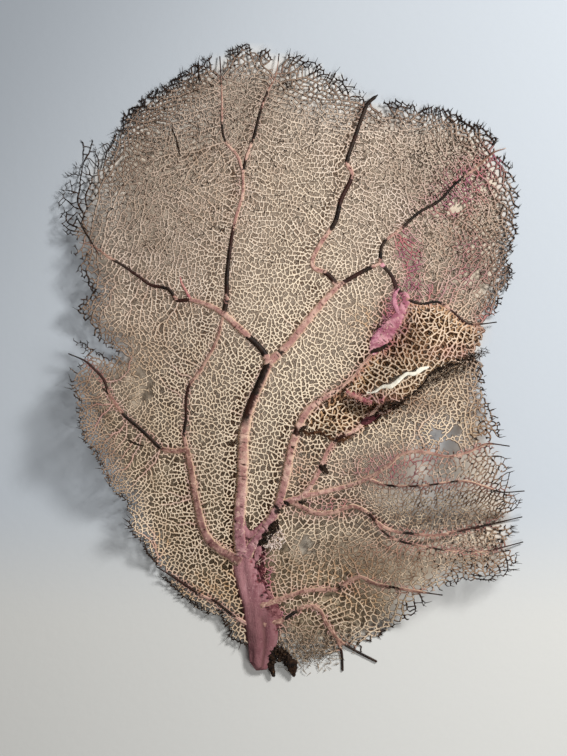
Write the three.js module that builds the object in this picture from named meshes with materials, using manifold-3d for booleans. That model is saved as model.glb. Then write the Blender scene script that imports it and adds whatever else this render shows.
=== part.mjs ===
// A dried sea fan lying on its back: a trunk with a broken holdfast, the branches that fork from
// it, and the lobes of netting that span the gaps between them. Millimetres, +Z up, +Y from the
// foot towards the crown. The origin is on the surface that it rests on, below its middle.
import * as THREE from "three";
import { mergeGeometries, mergeVertices } from "three/addons/utils/BufferGeometryUtils.js";
import Module from "manifold-3d";

const wasm = await Module();
wasm.setup();

// Driving dimensions.
const FAN_HEIGHT = 510; // foot of the holdfast to the crown
const NET_THICKNESS = 1.5;
const STRAND_WIDTH = 5.4; // of the open network, which is drawn coarser than the real one
const CELL_PITCH = 28;
const SEAM = 0.35; // gap between a lobe and its branch, and between a branch and its parent
const TRUNK_HALF_WIDTH = 13.8;
const TRUNK_HALF_THICKNESS = 6.6;

// The outline and branches are points of the photograph, in its pixels, with y running down.
const PIXELS_HIGH = 637.5; // the fan's height there
const MIDDLE_PIXEL = [289.7, 360.24];
const MM_PER_PIXEL = FAN_HEIGHT / PIXELS_HIGH;

// Trunk and branches, each from where it leaves its parent to its tip.
const TRUNK = [[259, 664], [261, 650], [262, 636], [260, 620], [256, 602], [250, 584], [246, 568], [243, 548]];
const LEFT_BRANCH = [[240, 562], [231, 556], [220, 550], [209, 540], [202, 526], [198, 508],
  [194, 490], [191, 470], [187, 450]];
const LEFT_OUTER_BRANCH = [[187, 450], [174, 451], [161, 448], [150, 438], [138, 427], [127, 418],
  [117, 407], [109, 394], [103, 379], [95, 370], [85, 361], [69, 354]];
const LEFT_LINK_BRANCH = [[187, 450], [184, 435], [186, 418], [186, 402], [189, 386], [198, 374],
  [208, 358], [217, 340], [224, 314]];
const CENTRE_BRANCH = [[242, 554], [239, 532], [240, 508], [242, 484], [243, 458], [244, 434],
  [248, 412], [256, 392], [263, 376], [269, 362]];
const LEFT_CROWN_BRANCH = [[269, 362], [262, 350], [250, 338], [238, 327], [224, 314]];
const LEFT_SHOULDER_BRANCH = [[224, 314], [212, 307], [200, 302], [188, 300], [177, 300], [168, 289],
  [151, 285], [138, 276], [122, 265], [108, 257], [94, 247], [80, 243]];
const CROWN_BRANCH = [[224, 314], [227, 297], [227, 278], [229, 258], [232, 236], [237, 214],
  [243, 192], [243, 172], [248, 152], [254, 136], [260, 112], [267, 92], [276, 74], [280, 43]];
const CROWN_SIDE_BRANCH = [[243, 172], [237, 155], [226, 142], [222, 126], [222, 104], [221, 78], [219, 46]];
const DIAGONAL_BRANCH = [[269, 362], [281, 352], [294, 338], [307, 321], [322, 303], [338, 286]];
const TOP_RIGHT_BRANCH = [[338, 286], [327, 274], [314, 268], [313, 258], [321, 243], [335, 222],
  [341, 200], [352, 176], [347, 162], [354, 140], [362, 117], [368, 103], [378, 94]];
const RIGHT_LINK_BRANCH = [[338, 286], [358, 274], [380, 263]];
const RIGHT_SHOULDER_BRANCH = [[380, 263], [383, 244], [402, 228], [418, 213], [440, 200],
  [455, 184], [474, 169], [494, 152], [507, 147]];
const BLADE_BRANCH = [[380, 263], [391, 275], [397, 289], [406, 299], [400, 314], [391, 328], [380, 343], [372, 353]];
const FOLD_BRANCH = [[406, 299], [421, 304], [438, 302], [452, 311], [466, 323], [480, 324], [497, 322]];
const RIGHT_BRANCH = [[245, 556], [256, 540], [268, 524], [278, 506], [283, 488], [288, 466],
  [292, 446], [299, 426], [307, 411], [322, 399], [338, 389], [353, 377], [363, 364], [372, 353]];
const POCKET_BRANCH = [[278, 506], [290, 500], [302, 496], [313, 482], [321, 466], [328, 450],
  [338, 438], [356, 429], [369, 417], [382, 402]];
const RIGHT_MIDDLE_BRANCH = [[302, 496], [322, 492], [346, 486], [368, 478], [386, 466], [403, 453],
  [424, 452], [446, 456], [466, 452], [486, 444], [508, 446]];
const RIGHT_SMALL_BRANCH = [[368, 478], [384, 484], [404, 485], [426, 484], [446, 481], [464, 480],
  [482, 485], [500, 491], [523, 490]];
const RIGHT_LOWER_BRANCH = [[290, 500], [302, 507], [316, 513], [334, 512], [352, 506], [366, 511],
  [376, 521], [390, 530], [412, 534], [436, 536], [462, 531], [490, 525], [523, 517]];
const SKIRT_BRANCH = [[376, 521], [385, 533], [398, 541], [424, 547], [452, 551], [484, 552],
  [504, 548], [524, 543]];
const FOOT_BRANCH = [[260, 606], [282, 599], [302, 592], [320, 590], [337, 590], [348, 582],
  [360, 577], [376, 583], [398, 587], [420, 590], [441, 593]];
const TWIG_BRANCH = [[264, 625], [281, 621], [296, 612], [309, 606], [320, 611], [326, 623],
  [338, 640], [352, 650], [377, 663]];
const TWIG_FORK = [[338, 640], [342, 654], [343, 672]];
const LOW_LEFT_BRANCH = [[256, 628], [238, 619], [226, 610], [216, 602], [200, 595], [180, 582], [156, 567]];

// Stretches of the rim, clockwise, each between two branch tips.
const RIM_FOOT_LEFT = [[252, 648], [240, 645], [229, 640], [225, 628], [221, 618], [205, 614], [192, 607],
  [180, 598], [168, 586], [159, 574]];
const RIM_LOWER_LEFT = [[153, 563], [146, 554], [141, 542], [131, 533], [127, 516], [127, 502], [116, 493],
  [109, 483], [103, 467], [94, 450], [85, 437], [82, 420], [78, 401], [73, 386], [71, 369], [79, 364]];
const RIM_LEFT_OUTER = [[82, 353], [73, 340], [84, 338], [94, 348], [108, 356], [113, 352], [98, 341],
  [89, 326], [78, 311], [80, 301], [93, 293], [86, 280], [75, 268], [80, 259], [66, 252], [72, 246]];
const RIM_UPPER_LEFT = [[67, 237], [62, 226], [59, 211], [55, 200], [61, 184], [64, 174], [74, 166], [77, 154],
  [81, 141], [90, 137], [97, 146], [111, 136], [119, 123], [124, 108], [134, 103], [140, 99], [158, 86],
  [174, 75], [190, 65], [200, 58], [211, 55]];
const RIM_CROWN_LEFT = [[229, 45], [243, 42], [260, 44], [272, 47]];
const RIM_CROWN = [[288, 48], [303, 56], [318, 60], [330, 71], [340, 71], [353, 85], [367, 93]];
const RIM_UPPER_RIGHT = [[386, 98], [402, 100], [421, 105], [440, 105], [456, 111], [469, 120], [484, 124],
  [500, 138]];
const RIM_RIGHT_SHOULDER = [[505, 154], [513, 165], [519, 178], [521, 200], [519, 216], [518, 240], [512, 256],
  [515, 277], [504, 297], [499, 311]];
const RIM_FOLD = [[486, 330], [481, 343], [477, 353], [460, 363], [443, 367], [430, 372], [420, 386],
  [406, 398], [390, 404], [372, 404], [354, 400], [341, 396]];
const EDGE_POCKET = [[368, 396], [342, 399], [330, 404]]; // hidden under the fold, as is the next
const EDGE_RIGHT_UPPER = [[398, 388], [420, 372], [448, 360], [476, 356]];
const RIM_RIGHT_UPPER = [[486, 367], [485, 384], [490, 404], [501, 423], [499, 438]];
const RIM_RIGHT_MIDDLE = [[505, 455], [512, 469], [508, 480], [516, 486]];
const RIM_RIGHT_LOWER = [[521, 497], [521, 508]];
const RIM_SKIRT_UPPER = [[518, 527], [516, 537]];
const RIM_SKIRT_LOWER = [[521, 553], [517, 565], [501, 577], [480, 581], [459, 580], [446, 587]];
const RIM_FOOT_RIGHT = [[434, 600], [420, 611], [402, 624], [386, 634], [376, 645], [364, 647], [361, 653]];
const RIM_FRINGE = [[332, 655], [318, 656], [311, 667], [299, 672], [290, 660], [282, 648]];

const TRUNK_FLATNESS = TRUNK_HALF_THICKNESS / TRUNK_HALF_WIDTH;

const NET_COLOUR = "#b09a7c";
const BRANCH_COLOUR = "#a5635c";
const TRUNK_COLOUR = "#8f4a63";
const BARE_COLOUR = "#1d1311";

// Sizes of the branches: half-widths at the root and at the tip, or at each point.
const BRANCHES = [
  { name: "trunk", points: TRUNK, halfWidths: [7.5, 10.5, 13, TRUNK_HALF_WIDTH, 12.4, 11, 10, 6.5], sides: 10,
    flatness: TRUNK_FLATNESS, colour: TRUNK_COLOUR, rise: (p) => trunkRise(p) },
  { name: "centre_branch", points: CENTRE_BRANCH, halfWidths: [4.6, 3.8] },
  { name: "right_branch", points: RIGHT_BRANCH, halfWidths: [4.2, 2.1] },
  { name: "left_branch", points: LEFT_BRANCH, halfWidths: [3.8, 2.4] },
  { name: "left_crown_branch", points: LEFT_CROWN_BRANCH, halfWidths: [3.1, 2.6] },
  { name: "diagonal_branch", points: DIAGONAL_BRANCH, halfWidths: [3.3, 2.7] },
  { name: "crown_branch", points: CROWN_BRANCH, halfWidths: [2.4, 1.3], colour: BARE_COLOUR },
  { name: "left_shoulder_branch", points: LEFT_SHOULDER_BRANCH, halfWidths: [2.2, 1.1], colour: BARE_COLOUR },
  { name: "right_link_branch", points: RIGHT_LINK_BRANCH, halfWidths: [2.3, 2.1], colour: BARE_COLOUR },
  { name: "top_right_branch", points: TOP_RIGHT_BRANCH, halfWidths: [2.1, 1.5], colour: BARE_COLOUR },
  { name: "blade_branch", points: BLADE_BRANCH, halfWidths: [1.7, 1.7, 1.9, 3.4, 5.4, 5.6, 5.2, 3.2],
    flatness: 0.4 },
  { name: "right_shoulder_branch", points: RIGHT_SHOULDER_BRANCH, halfWidths: [1.9, 1.2], colour: BARE_COLOUR },
  { name: "fold_branch", points: FOLD_BRANCH, halfWidths: [1.4, 1.1], sides: 5 },
  { name: "left_outer_branch", points: LEFT_OUTER_BRANCH, halfWidths: [2, 1.2], colour: BARE_COLOUR },
  { name: "left_link_branch", points: LEFT_LINK_BRANCH, halfWidths: [1.5, 1.2], sides: 5 },
  { name: "crown_side_branch", points: CROWN_SIDE_BRANCH, halfWidths: [1.6, 1.1], sides: 5 },
  { name: "pocket_branch", points: POCKET_BRANCH, halfWidths: [2.3, 1.4], rise: (p) => tuckedRise(p) },
  { name: "right_middle_branch", points: RIGHT_MIDDLE_BRANCH, halfWidths: [2, 1.1], sides: 5 },
  { name: "right_lower_branch", points: RIGHT_LOWER_BRANCH, halfWidths: [2.1, 1.2], sides: 5 },
  { name: "right_small_branch", points: RIGHT_SMALL_BRANCH, halfWidths: [1.3, 1.1], sides: 5 },
  { name: "skirt_branch", points: SKIRT_BRANCH, halfWidths: [1.3, 1.1], sides: 5 },
  { name: "foot_branch", points: FOOT_BRANCH, halfWidths: [2, 1.2], sides: 5 },
  { name: "twig_branch", points: TWIG_BRANCH, halfWidths: [1.9, 1.2], sides: 5, colour: BARE_COLOUR },
  { name: "twig_fork", points: TWIG_FORK, halfWidths: [1.2, 1.1], sides: 5, colour: BARE_COLOUR },
  { name: "low_left_branch", points: LOW_LEFT_BRANCH, halfWidths: [1.5, 1.1], sides: 5, colour: BARE_COLOUR },
];
const BRANCH_SIDES = 6;
const BRANCH_FLATNESS = 0.86; // half-thickness over half-width

// Holdfast: two dark prongs of bare skeleton, and the stub between them.
const HOLDFAST_PRONGS = [
  { points: [[268, 648], [273, 656], [270, 664], [274, 677]], halfWidths: [5, 4.4, 3.2, 1.4] },
  { points: [[269, 651], [279, 654], [289, 662], [292, 669], [294, 678]], halfWidths: [5, 4.8, 4.6, 3.6, 2.2] },
];
const HOLDFAST_HEIGHT = 4.6;
const HOLDFAST_FLATNESS = 0.8;

const millimetres = ([px, py]) =>
  new THREE.Vector2((px - MIDDLE_PIXEL[0]) * MM_PER_PIXEL, (MIDDLE_PIXEL[1] - py) * MM_PER_PIXEL);
const smoothStep = (low, high, x) => THREE.MathUtils.smoothstep(x, low, high);

// The rise of the fan's sheet over the surface, at a point of the photograph.
const swell = (px, py, [cx, cy], [rx, ry], rise) =>
  rise * Math.exp(-(((px - cx) / rx) ** 2) - ((py - cy) / ry) ** 2);

// The left rim curls up steeply, past a line that leans with the rim.
function leftCurl(px, py) {
  const startX = 118 + (py - 380) * 0.317;
  const past = Math.max(0, (startX - px) / 50);
  return 44 * past * past * smoothStep(335, 400, py) * (1 - smoothStep(535, 610, py));
}

// The lower right lobe is pleated: it falls from a ridge to the lower branch, and rises to its rim.
function rightPleat(px, py) {
  const ridge = 474, valley = 531, lowerRim = 584;
  const across = py < ridge ? 0.5 * (1 + Math.cos(Math.PI * Math.min(1, (ridge - py) / 85)))
    : py < valley ? 0.5 * (1 + Math.cos((Math.PI * (py - ridge)) / (valley - ridge)))
    : 0.5 * (1 - Math.cos(Math.PI * Math.min(1, (py - valley) / (lowerRim - valley))));
  const fade = py < valley ? 1 : 1 - smoothStep(588, 640, py);
  return 30 * across * fade * smoothStep(330, 440, px);
}

function sheetRise([px, py]) {
  const fromMiddle = ((px - 290) / 235) ** 2 + ((py - 345) / 310) ** 2;
  const rise = 17.5 * Math.exp(-1.5 * fromMiddle) - 3.6 * smoothStep(0.7, 1.2, fromMiddle)
    + swell(px, py, [58, 285], [62, 80], 20)
    + swell(px, py, [258, 640], [55, 60], 3.8)
    + 2.2 * Math.sin(px / 34 + 1) * Math.sin(py / 41) * (1 - smoothStep(0.75, 1, fromMiddle))
    + leftCurl(px, py) + rightPleat(px, py);
  return Math.max(rise, NET_THICKNESS / 2); // the rim lies on the surface here and there
}

// How far a point of the photograph is from a row of them.
function pixelsFrom(point, row) {
  const here = new THREE.Vector3(point[0], point[1], 0);
  const nearest = new THREE.Vector3();
  return Math.min(...row.slice(1).map((end, i) => {
    const edge = new THREE.Line3(new THREE.Vector3(...row[i], 0), new THREE.Vector3(...end, 0));
    return edge.closestPointToPoint(here, true, nearest).distanceTo(here);
  }));
}

// The fold's lower edge stands proud of the lobes that pass under it, and they dip below it.
const FOLD_ROOT = [...RIGHT_BRANCH.slice(10), ...BLADE_BRANCH.slice(3).reverse(), ...FOLD_BRANCH];
const FOLD_LIFT = 21;
const foldRise = (p) => sheetRise(p) + FOLD_LIFT * smoothStep(0, 46, pixelsFrom(p, FOLD_ROOT));
const HIDDEN_EDGE = [...EDGE_POCKET.slice().reverse(), [382, 402], ...EDGE_RIGHT_UPPER];
const HIDDEN_DIP = 7;
function tuckedRise(p) {
  const dip = HIDDEN_DIP * (1 - smoothStep(0, 30, pixelsFrom(p, HIDDEN_EDGE)));
  const bulge = swell(p[0], p[1], [338, 424], [17, 12], 8);
  return sheetRise(p) + (bulge - dip) * smoothStep(0, 22, pixelsFrom(p, RIGHT_BRANCH));
}

const pixelOf = (x, y) => [x / MM_PER_PIXEL + MIDDLE_PIXEL[0], MIDDLE_PIXEL[1] - y / MM_PER_PIXEL];

// The direction that a sheet faces at a point of it.
function facing(x, y, rise) {
  const reach = 0.5;
  const at = (dx, dy) => rise(pixelOf(x + dx, y + dy));
  const slopeX = (at(reach, 0) - at(-reach, 0)) / (2 * reach);
  const slopeY = (at(0, reach) - at(0, -reach)) / (2 * reach);
  return new THREE.Vector3(-slopeX, -slopeY, 1).normalize();
}

// A point in space on a sheet, pushed off it by an offset.
function onSheet(x, y, rise, offset) {
  return new THREE.Vector3(x, y, rise(pixelOf(x, y))).addScaledVector(facing(x, y, rise), offset);
}

function solidFrom(geometry) {
  const bare = geometry.clone();
  bare.deleteAttribute("normal");
  bare.deleteAttribute("uv");
  const merged = mergeVertices(bare, 1e-4);
  return new wasm.Manifold(new wasm.Mesh({
    numProp: 3,
    vertProperties: new Float32Array(merged.attributes.position.array),
    triVerts: new Uint32Array(merged.index.array),
  }));
}

function geometryFrom(solid) {
  const { vertProperties, triVerts } = solid.getMesh();
  const geometry = new THREE.BufferGeometry();
  geometry.setAttribute("position", new THREE.BufferAttribute(new Float32Array(vertProperties), 3));
  geometry.setIndex(new THREE.BufferAttribute(new Uint32Array(triVerts), 1));
  geometry.computeVertexNormals();
  return geometry;
}

// The main piece of a solid that cutting has left with crumbs.
const mainPiece = (solid) => solid.decompose().reduce((best, s) => (s.volume() > best.volume() ? s : best));

// A closed tube of oval rings, one at each centre, each with its own up.
function ovalTube(centres, ups, halfWidths, flatness, sides, grow = 0) {
  const last = centres.length - 1;
  const positions = [];
  centres.forEach((centre, i) => {
    const along = centres[Math.min(i + 1, last)].clone().sub(centres[Math.max(i - 1, 0)]).normalize();
    const across = new THREE.Vector3().crossVectors(along, ups[i]).normalize();
    const out = new THREE.Vector3().crossVectors(across, along);
    const end = i === 0 ? -grow : i === last ? grow : 0;
    for (let k = 0; k < sides; k++) {
      const angle = (2 * Math.PI * k) / sides;
      const p = centre.clone().addScaledVector(along, end)
        .addScaledVector(across, (halfWidths[i] + grow) * Math.cos(angle))
        .addScaledVector(out, (halfWidths[i] * flatness + grow) * Math.sin(angle));
      positions.push(p.x, p.y, p.z);
    }
  });
  const faces = [];
  for (let i = 0; i < last; i++)
    for (let k = 0; k < sides; k++) {
      const a = i * sides + k, b = i * sides + ((k + 1) % sides);
      faces.push(a, a + sides, b, b, a + sides, b + sides);
    }
  for (let k = 1; k < sides - 1; k++) {
    faces.push(0, k, k + 1);
    faces.push(last * sides, last * sides + k + 1, last * sides + k);
  }
  const geometry = new THREE.BufferGeometry();
  geometry.setAttribute("position", new THREE.Float32BufferAttribute(positions, 3));
  geometry.setIndex(faces);
  return solidFrom(geometry);
}

// Half-widths at each point: those given, or an even taper between the two given.
function widthsOf({ points, halfWidths }) {
  if (halfWidths.length === points.length) return halfWidths;
  const last = points.length - 1;
  return points.map((_, i) => THREE.MathUtils.lerp(halfWidths[0], halfWidths[1], i / last));
}

// The trunk lies on the surface at its foot, and joins the sheet at its top.
function trunkRise(p) {
  const share = 1 - smoothStep(548, 625, p[1]);
  return THREE.MathUtils.lerp(TRUNK_HALF_THICKNESS - 1.1, sheetRise(p), share);
}

// A branch as it stands, and swollen by the seam, to cut its neighbours.
function branchSolids({ points, halfWidths, sides = BRANCH_SIDES, flatness = BRANCH_FLATNESS, rise = sheetRise }) {
  const plan = points.map(millimetres);
  const centres = plan.map(({ x, y }) => onSheet(x, y, rise, 0));
  const ups = plan.map(({ x, y }) => facing(x, y, rise));
  const widths = widthsOf({ points, halfWidths });
  return [0, SEAM].map((grow) => ovalTube(centres, ups, widths, flatness, sides, grow));
}

function holdfastSolid(grow) {
  const prongs = HOLDFAST_PRONGS.map(({ points, halfWidths }) => {
    const centres = points.map((p) => new THREE.Vector3(...millimetres(p), HOLDFAST_HEIGHT));
    const ups = points.map(() => new THREE.Vector3(0, 0, 1));
    return ovalTube(centres, ups, halfWidths, HOLDFAST_FLATNESS, 8, grow);
  });
  return prongs[0].add(prongs[1]);
}

// Everything under the surface that the fan lies on.
function underside() {
  const box = new THREE.BoxGeometry(2 * FAN_HEIGHT, 2 * FAN_HEIGHT, 50);
  box.translate(0, 0, -25);
  return solidFrom(box);
}

// A seeded series of numbers from 0 to 1.
function series(seed) {
  let state = seed;
  return () => {
    state = (state + 0x6d2b79f5) | 0;
    let t = Math.imul(state ^ (state >>> 15), 1 | state);
    t = (t + Math.imul(t ^ (t >>> 7), 61 | t)) ^ t;
    return ((t ^ (t >>> 14)) >>> 0) / 4294967296;
  };
}

// Cuts a convex outline by a line, and keeps the side away from the line's direction.
function clipped(outline, onLine, direction) {
  const kept = [];
  outline.forEach((p, i) => {
    const q = outline[(i + 1) % outline.length];
    const a = p.clone().sub(onLine).dot(direction);
    const b = q.clone().sub(onLine).dot(direction);
    if (a <= 0) kept.push(p);
    if (a * b < 0) kept.push(p.clone().lerp(q, a / (a - b)));
  });
  return kept;
}

function isInside(point, outline) {
  let inside = false;
  outline.forEach((a, i) => {
    const b = outline[(i + 1) % outline.length];
    const crosses = a.y > point.y !== b.y > point.y;
    if (crosses && point.x < ((b.x - a.x) * (point.y - a.y)) / (b.y - a.y) + a.x) inside = !inside;
  });
  return inside;
}

// The edge of an outline that a point is nearest to, with a margin inside it, and the room that is
// left there: under 0 where the point is within the margin or outside.
function nearestEdge(point, outline, margins) {
  let best = { distance: Infinity };
  outline.forEach((a, i) => {
    const edge = outline[(i + 1) % outline.length].clone().sub(a);
    const share = THREE.MathUtils.clamp(point.clone().sub(a).dot(edge) / edge.lengthSq(), 0, 1);
    const distance = point.distanceTo(a.clone().addScaledVector(edge, share));
    if (distance < best.distance) best = { distance, start: a, edge, margin: margins[i] };
  });
  const inside = isInside(point, outline);
  return { ...best, room: (inside ? best.distance : -best.distance) - best.margin };
}

// What lies nearest to a middle of all the middles, less a gap all round, and inside the margins.
function cellAround(middle, middles, outline, margins, gap) {
  const size = 1.2 * CELL_PITCH;
  let cell = [[-size, -size], [size, -size], [size, size], [-size, size]]
    .map(([x, y]) => new THREE.Vector2(middle.x + x, middle.y + y));
  for (const other of middles) {
    if (other === middle || other.distanceTo(middle) > 3.4 * CELL_PITCH) continue;
    const direction = other.clone().sub(middle).normalize();
    const halfWay = middle.clone().add(other).multiplyScalar(0.5);
    cell = clipped(cell, halfWay.addScaledVector(direction, -gap / 2), direction);
  }
  for (let cut = 0; cut < 14 && cell.length > 2; cut++) {
    const samples = cell.flatMap((p, i) => [p, p.clone().lerp(cell[(i + 1) % cell.length], 0.5)]);
    const worst = samples.map((p) => nearestEdge(p, outline, margins))
      .reduce((least, found) => (found.room < least.room ? found : least));
    if (worst.room > -0.3) break;
    const direction = new THREE.Vector2(worst.edge.y, -worst.edge.x).normalize();
    if (worst.start.clone().sub(middle).dot(direction) < 0) direction.negate();
    cell = clipped(cell, worst.start.clone().addScaledVector(direction, -worst.margin), direction);
  }
  return cell.length > 2 ? cell : [];
}

function centroidOf(outline) {
  let area = 0;
  const sum = new THREE.Vector2();
  outline.forEach((a, i) => {
    const b = outline[(i + 1) % outline.length];
    const cross = a.cross(b);
    area += cross / 2;
    sum.addScaledVector(a.clone().add(b), cross / 6);
  });
  return sum.divideScalar(area);
}

// The open cells of a lobe, with their middles shifted until they share its room evenly.
function openCells(outline, margins, seed) {
  const random = series(seed);
  const box = new THREE.Box2().setFromPoints(outline);
  const count = Math.max(1, Math.round(Math.abs(THREE.ShapeUtils.area(outline)) / CELL_PITCH ** 2));
  let middles = [];
  for (let tries = 0; tries < 4000 && middles.length < count; tries++) {
    const p = new THREE.Vector2(random(), random()).multiply(box.getSize(new THREE.Vector2())).add(box.min);
    const clear = middles.every((m) => m.distanceTo(p) > 0.55 * CELL_PITCH);
    if (clear && nearestEdge(p, outline, margins).room > 0) middles.push(p);
  }
  for (let pass = 0; pass < 14; pass++)
    middles = middles.map((m) => {
      const cell = cellAround(m, middles, outline, margins, 0);
      return cell.length ? centroidOf(cell) : m;
    });
  return middles.map((m) => cellAround(m, middles, outline, margins, STRAND_WIDTH))
    .map((cell) => cell.filter((p, i) => p.distanceTo(cell[(i + 1) % cell.length]) > 0.14 * CELL_PITCH))
    .filter((cell) => cell.length > 2 && Math.abs(THREE.ShapeUtils.area(cell)) > 0.07 * CELL_PITCH ** 2);
}

// A flat plate of an outline, between two heights.
function slab(outline, low, high) {
  const geometry = new THREE.ExtrudeGeometry(new THREE.Shape(outline), { depth: high - low, bevelEnabled: false });
  return geometry.translate(0, 0, low);
}

// The ground that a branch covers, with the seam round it.
function footprint({ points, halfWidths }) {
  const plan = points.map(millimetres);
  const widths = widthsOf({ points, halfWidths });
  const last = plan.length - 1;
  const sides = [1, -1].map((side) => plan.map((p, i) => {
    const direction = plan[Math.min(i + 1, last)].clone().sub(plan[Math.max(i - 1, 0)]).normalize();
    const end = i === 0 ? -SEAM : i === last ? SEAM : 0;
    const across = new THREE.Vector2(-direction.y, direction.x).multiplyScalar(side * (widths[i] + SEAM));
    return p.clone().addScaledVector(direction, end).add(across);
  }));
  return solidFrom(slab([...sides[0], ...sides[1].reverse()], -5, 5));
}

// A lobe of netting: a thin plate with open cells, bent to its rise. Its border is made of points of
// the photograph, with the branch's half-width where it runs along one.
function lobeSolid({ border, rise = sheetRise }, seed) {
  const outline = border.map(({ p }) => millimetres(p));
  const margins = border.map((a, i) => {
    const b = border[(i + 1) % border.length];
    return a.halfWidth && b.halfWidth ? Math.max(a.halfWidth, b.halfWidth) + SEAM + 0.5 * STRAND_WIDTH
      : 0.62 * STRAND_WIDTH;
  });
  const half = NET_THICKNESS / 2;
  const holes = openCells(outline, margins, seed).map((cell) => slab(cell, -NET_THICKNESS, NET_THICKNESS));
  let plate = solidFrom(slab(outline, -half, half));
  if (holes.length) plate = plate.subtract(solidFrom(mergeGeometries(holes)));
  for (const name of new Set(border.map(({ branch }) => branch)))
    if (name) plate = plate.subtract(footprint(BRANCHES.find((b) => b.name === name)));
  const geometry = geometryFrom(mainPiece(plate));
  const positions = geometry.attributes.position;
  for (let i = 0; i < positions.count; i++) {
    const p = onSheet(positions.getX(i), positions.getY(i), rise, positions.getZ(i));
    positions.setXYZ(i, p.x, p.y, p.z);
  }
  return solidFrom(geometry);
}

// A stretch of a branch, from one of its points to another.
function along(name, from, to) {
  const branch = BRANCHES.find((b) => b.name === name);
  const widths = widthsOf(branch);
  const all = branch.points.map((p, i) => ({ p, halfWidth: widths[i], branch: name }));
  return from <= to ? all.slice(from, to + 1) : all.slice(to, from + 1).reverse();
}

const rim = (points) => points.map((p) => ({ p }));

const LOBES = [
  { name: "net_foot_left", border: [...along("low_left_branch", 5, 1), ...along("trunk", 3, 1), ...rim(RIM_FOOT_LEFT)] },
  { name: "net_lower_left", border: [...along("left_outer_branch", 10, 1), ...along("left_branch", 8, 1),
    ...along("trunk", 6, 3), ...along("low_left_branch", 1, 5), ...rim(RIM_LOWER_LEFT)] },
  { name: "net_left_outer", border: [...along("left_shoulder_branch", 10, 1), ...along("left_link_branch", 8, 1),
    ...along("left_outer_branch", 0, 10), ...rim(RIM_LEFT_OUTER)] },
  { name: "net_left_inner", border: [...along("left_link_branch", 0, 7), ...along("left_crown_branch", 4, 1),
    ...along("centre_branch", 9, 1), ...along("left_branch", 1, 7)] },
  { name: "net_upper_left", border: [...along("crown_side_branch", 5, 0), ...along("crown_branch", 6, 1),
    ...along("left_shoulder_branch", 0, 10), ...rim(RIM_UPPER_LEFT)] },
  { name: "net_crown_left", border: [...along("crown_branch", 12, 8), ...along("crown_side_branch", 0, 5),
    ...rim(RIM_CROWN_LEFT)] },
  { name: "net_crown", border: [...along("top_right_branch", 11, 1), ...along("diagonal_branch", 5, 1),
    ...along("left_crown_branch", 0, 4), ...along("crown_branch", 1, 12), ...rim(RIM_CROWN)] },
  { name: "net_upper_right", border: [...along("right_shoulder_branch", 7, 1), ...along("right_link_branch", 2, 1),
    ...along("top_right_branch", 0, 11), ...rim(RIM_UPPER_RIGHT)] },
  { name: "net_right_shoulder", border: [...along("fold_branch", 5, 1), ...along("blade_branch", 3, 1),
    ...along("right_shoulder_branch", 0, 7), ...rim(RIM_RIGHT_SHOULDER)] },
  { name: "net_right_fold", rise: foldRise, border: [...along("right_branch", 11, 13),
    ...along("blade_branch", 6, 4), ...along("fold_branch", 0, 5), ...rim(RIM_FOLD)] },
  { name: "net_heart", border: [...along("centre_branch", 2, 8), ...along("diagonal_branch", 0, 5),
    ...along("right_link_branch", 1, 2), ...along("blade_branch", 1, 6), ...along("right_branch", 13, 1)] },
  { name: "net_fold_pocket", rise: tuckedRise, border: [...along("right_branch", 4, 9),
    ...rim(EDGE_POCKET.slice().reverse()), ...along("pocket_branch", 8, 1)] },
  { name: "net_right_upper", rise: tuckedRise, border: [...along("pocket_branch", 2, 8), ...rim(EDGE_RIGHT_UPPER),
    ...rim(RIM_RIGHT_UPPER), ...along("right_middle_branch", 9, 1)] },
  { name: "net_right_middle", border: [...along("right_middle_branch", 3, 9), ...rim(RIM_RIGHT_MIDDLE),
    ...along("right_small_branch", 7, 1)] },
  { name: "net_right_lower", border: [...along("pocket_branch", 1, 2), ...along("right_middle_branch", 1, 3),
    ...along("right_small_branch", 1, 7), ...rim(RIM_RIGHT_LOWER), ...along("right_lower_branch", 11, 1)] },
  { name: "net_skirt_upper", border: [...along("right_lower_branch", 6, 11), ...rim(RIM_SKIRT_UPPER),
    ...along("skirt_branch", 6, 1)] },
  { name: "net_skirt_lower", border: [...along("trunk", 4, 6), ...along("right_branch", 1, 3),
    ...along("pocket_branch", 1, 1), ...along("right_lower_branch", 1, 6), ...along("skirt_branch", 1, 6),
    ...rim(RIM_SKIRT_LOWER), ...along("foot_branch", 9, 1)] },
  { name: "net_foot_right", border: [...along("trunk", 3, 4), ...along("foot_branch", 1, 9), ...rim(RIM_FOOT_RIGHT),
    ...along("twig_branch", 7, 1)] },
  { name: "net_foot_fringe", border: [...along("trunk", 1, 3), ...along("twig_branch", 1, 6),
    ...along("twig_fork", 1, 1), ...rim(RIM_FRINGE)] },
];

function meshOf(name, solid, colour, roughness) {
  const material = new THREE.MeshStandardMaterial({ color: colour, roughness, metalness: 0 });
  const mesh = new THREE.Mesh(geometryFrom(solid), material);
  mesh.name = name;
  return mesh;
}

const BELOW = underside();
const fan = new THREE.Group();
const cutters = [];
for (const branch of BRANCHES) {
  const [solid, swollen] = branchSolids(branch);
  const cut = cutters.reduce((left, cutter) => left.subtract(cutter), solid).subtract(BELOW);
  cutters.push(swollen);
  fan.add(meshOf(branch.name, mainPiece(cut), branch.colour ?? BRANCH_COLOUR, 0.75));
}
const holdfast = cutters.reduce((left, cutter) => left.subtract(cutter), holdfastSolid(0));
fan.add(meshOf("holdfast", mainPiece(holdfast.subtract(BELOW)), BARE_COLOUR, 0.6));
const holdfastRoom = holdfastSolid(SEAM);
LOBES.forEach((lobe, i) => {
  const solid = lobeSolid(lobe, i + 1).subtract(holdfastRoom).subtract(BELOW);
  fan.add(meshOf(lobe.name, mainPiece(solid), NET_COLOUR, 0.9));
});

export default fan;
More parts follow.
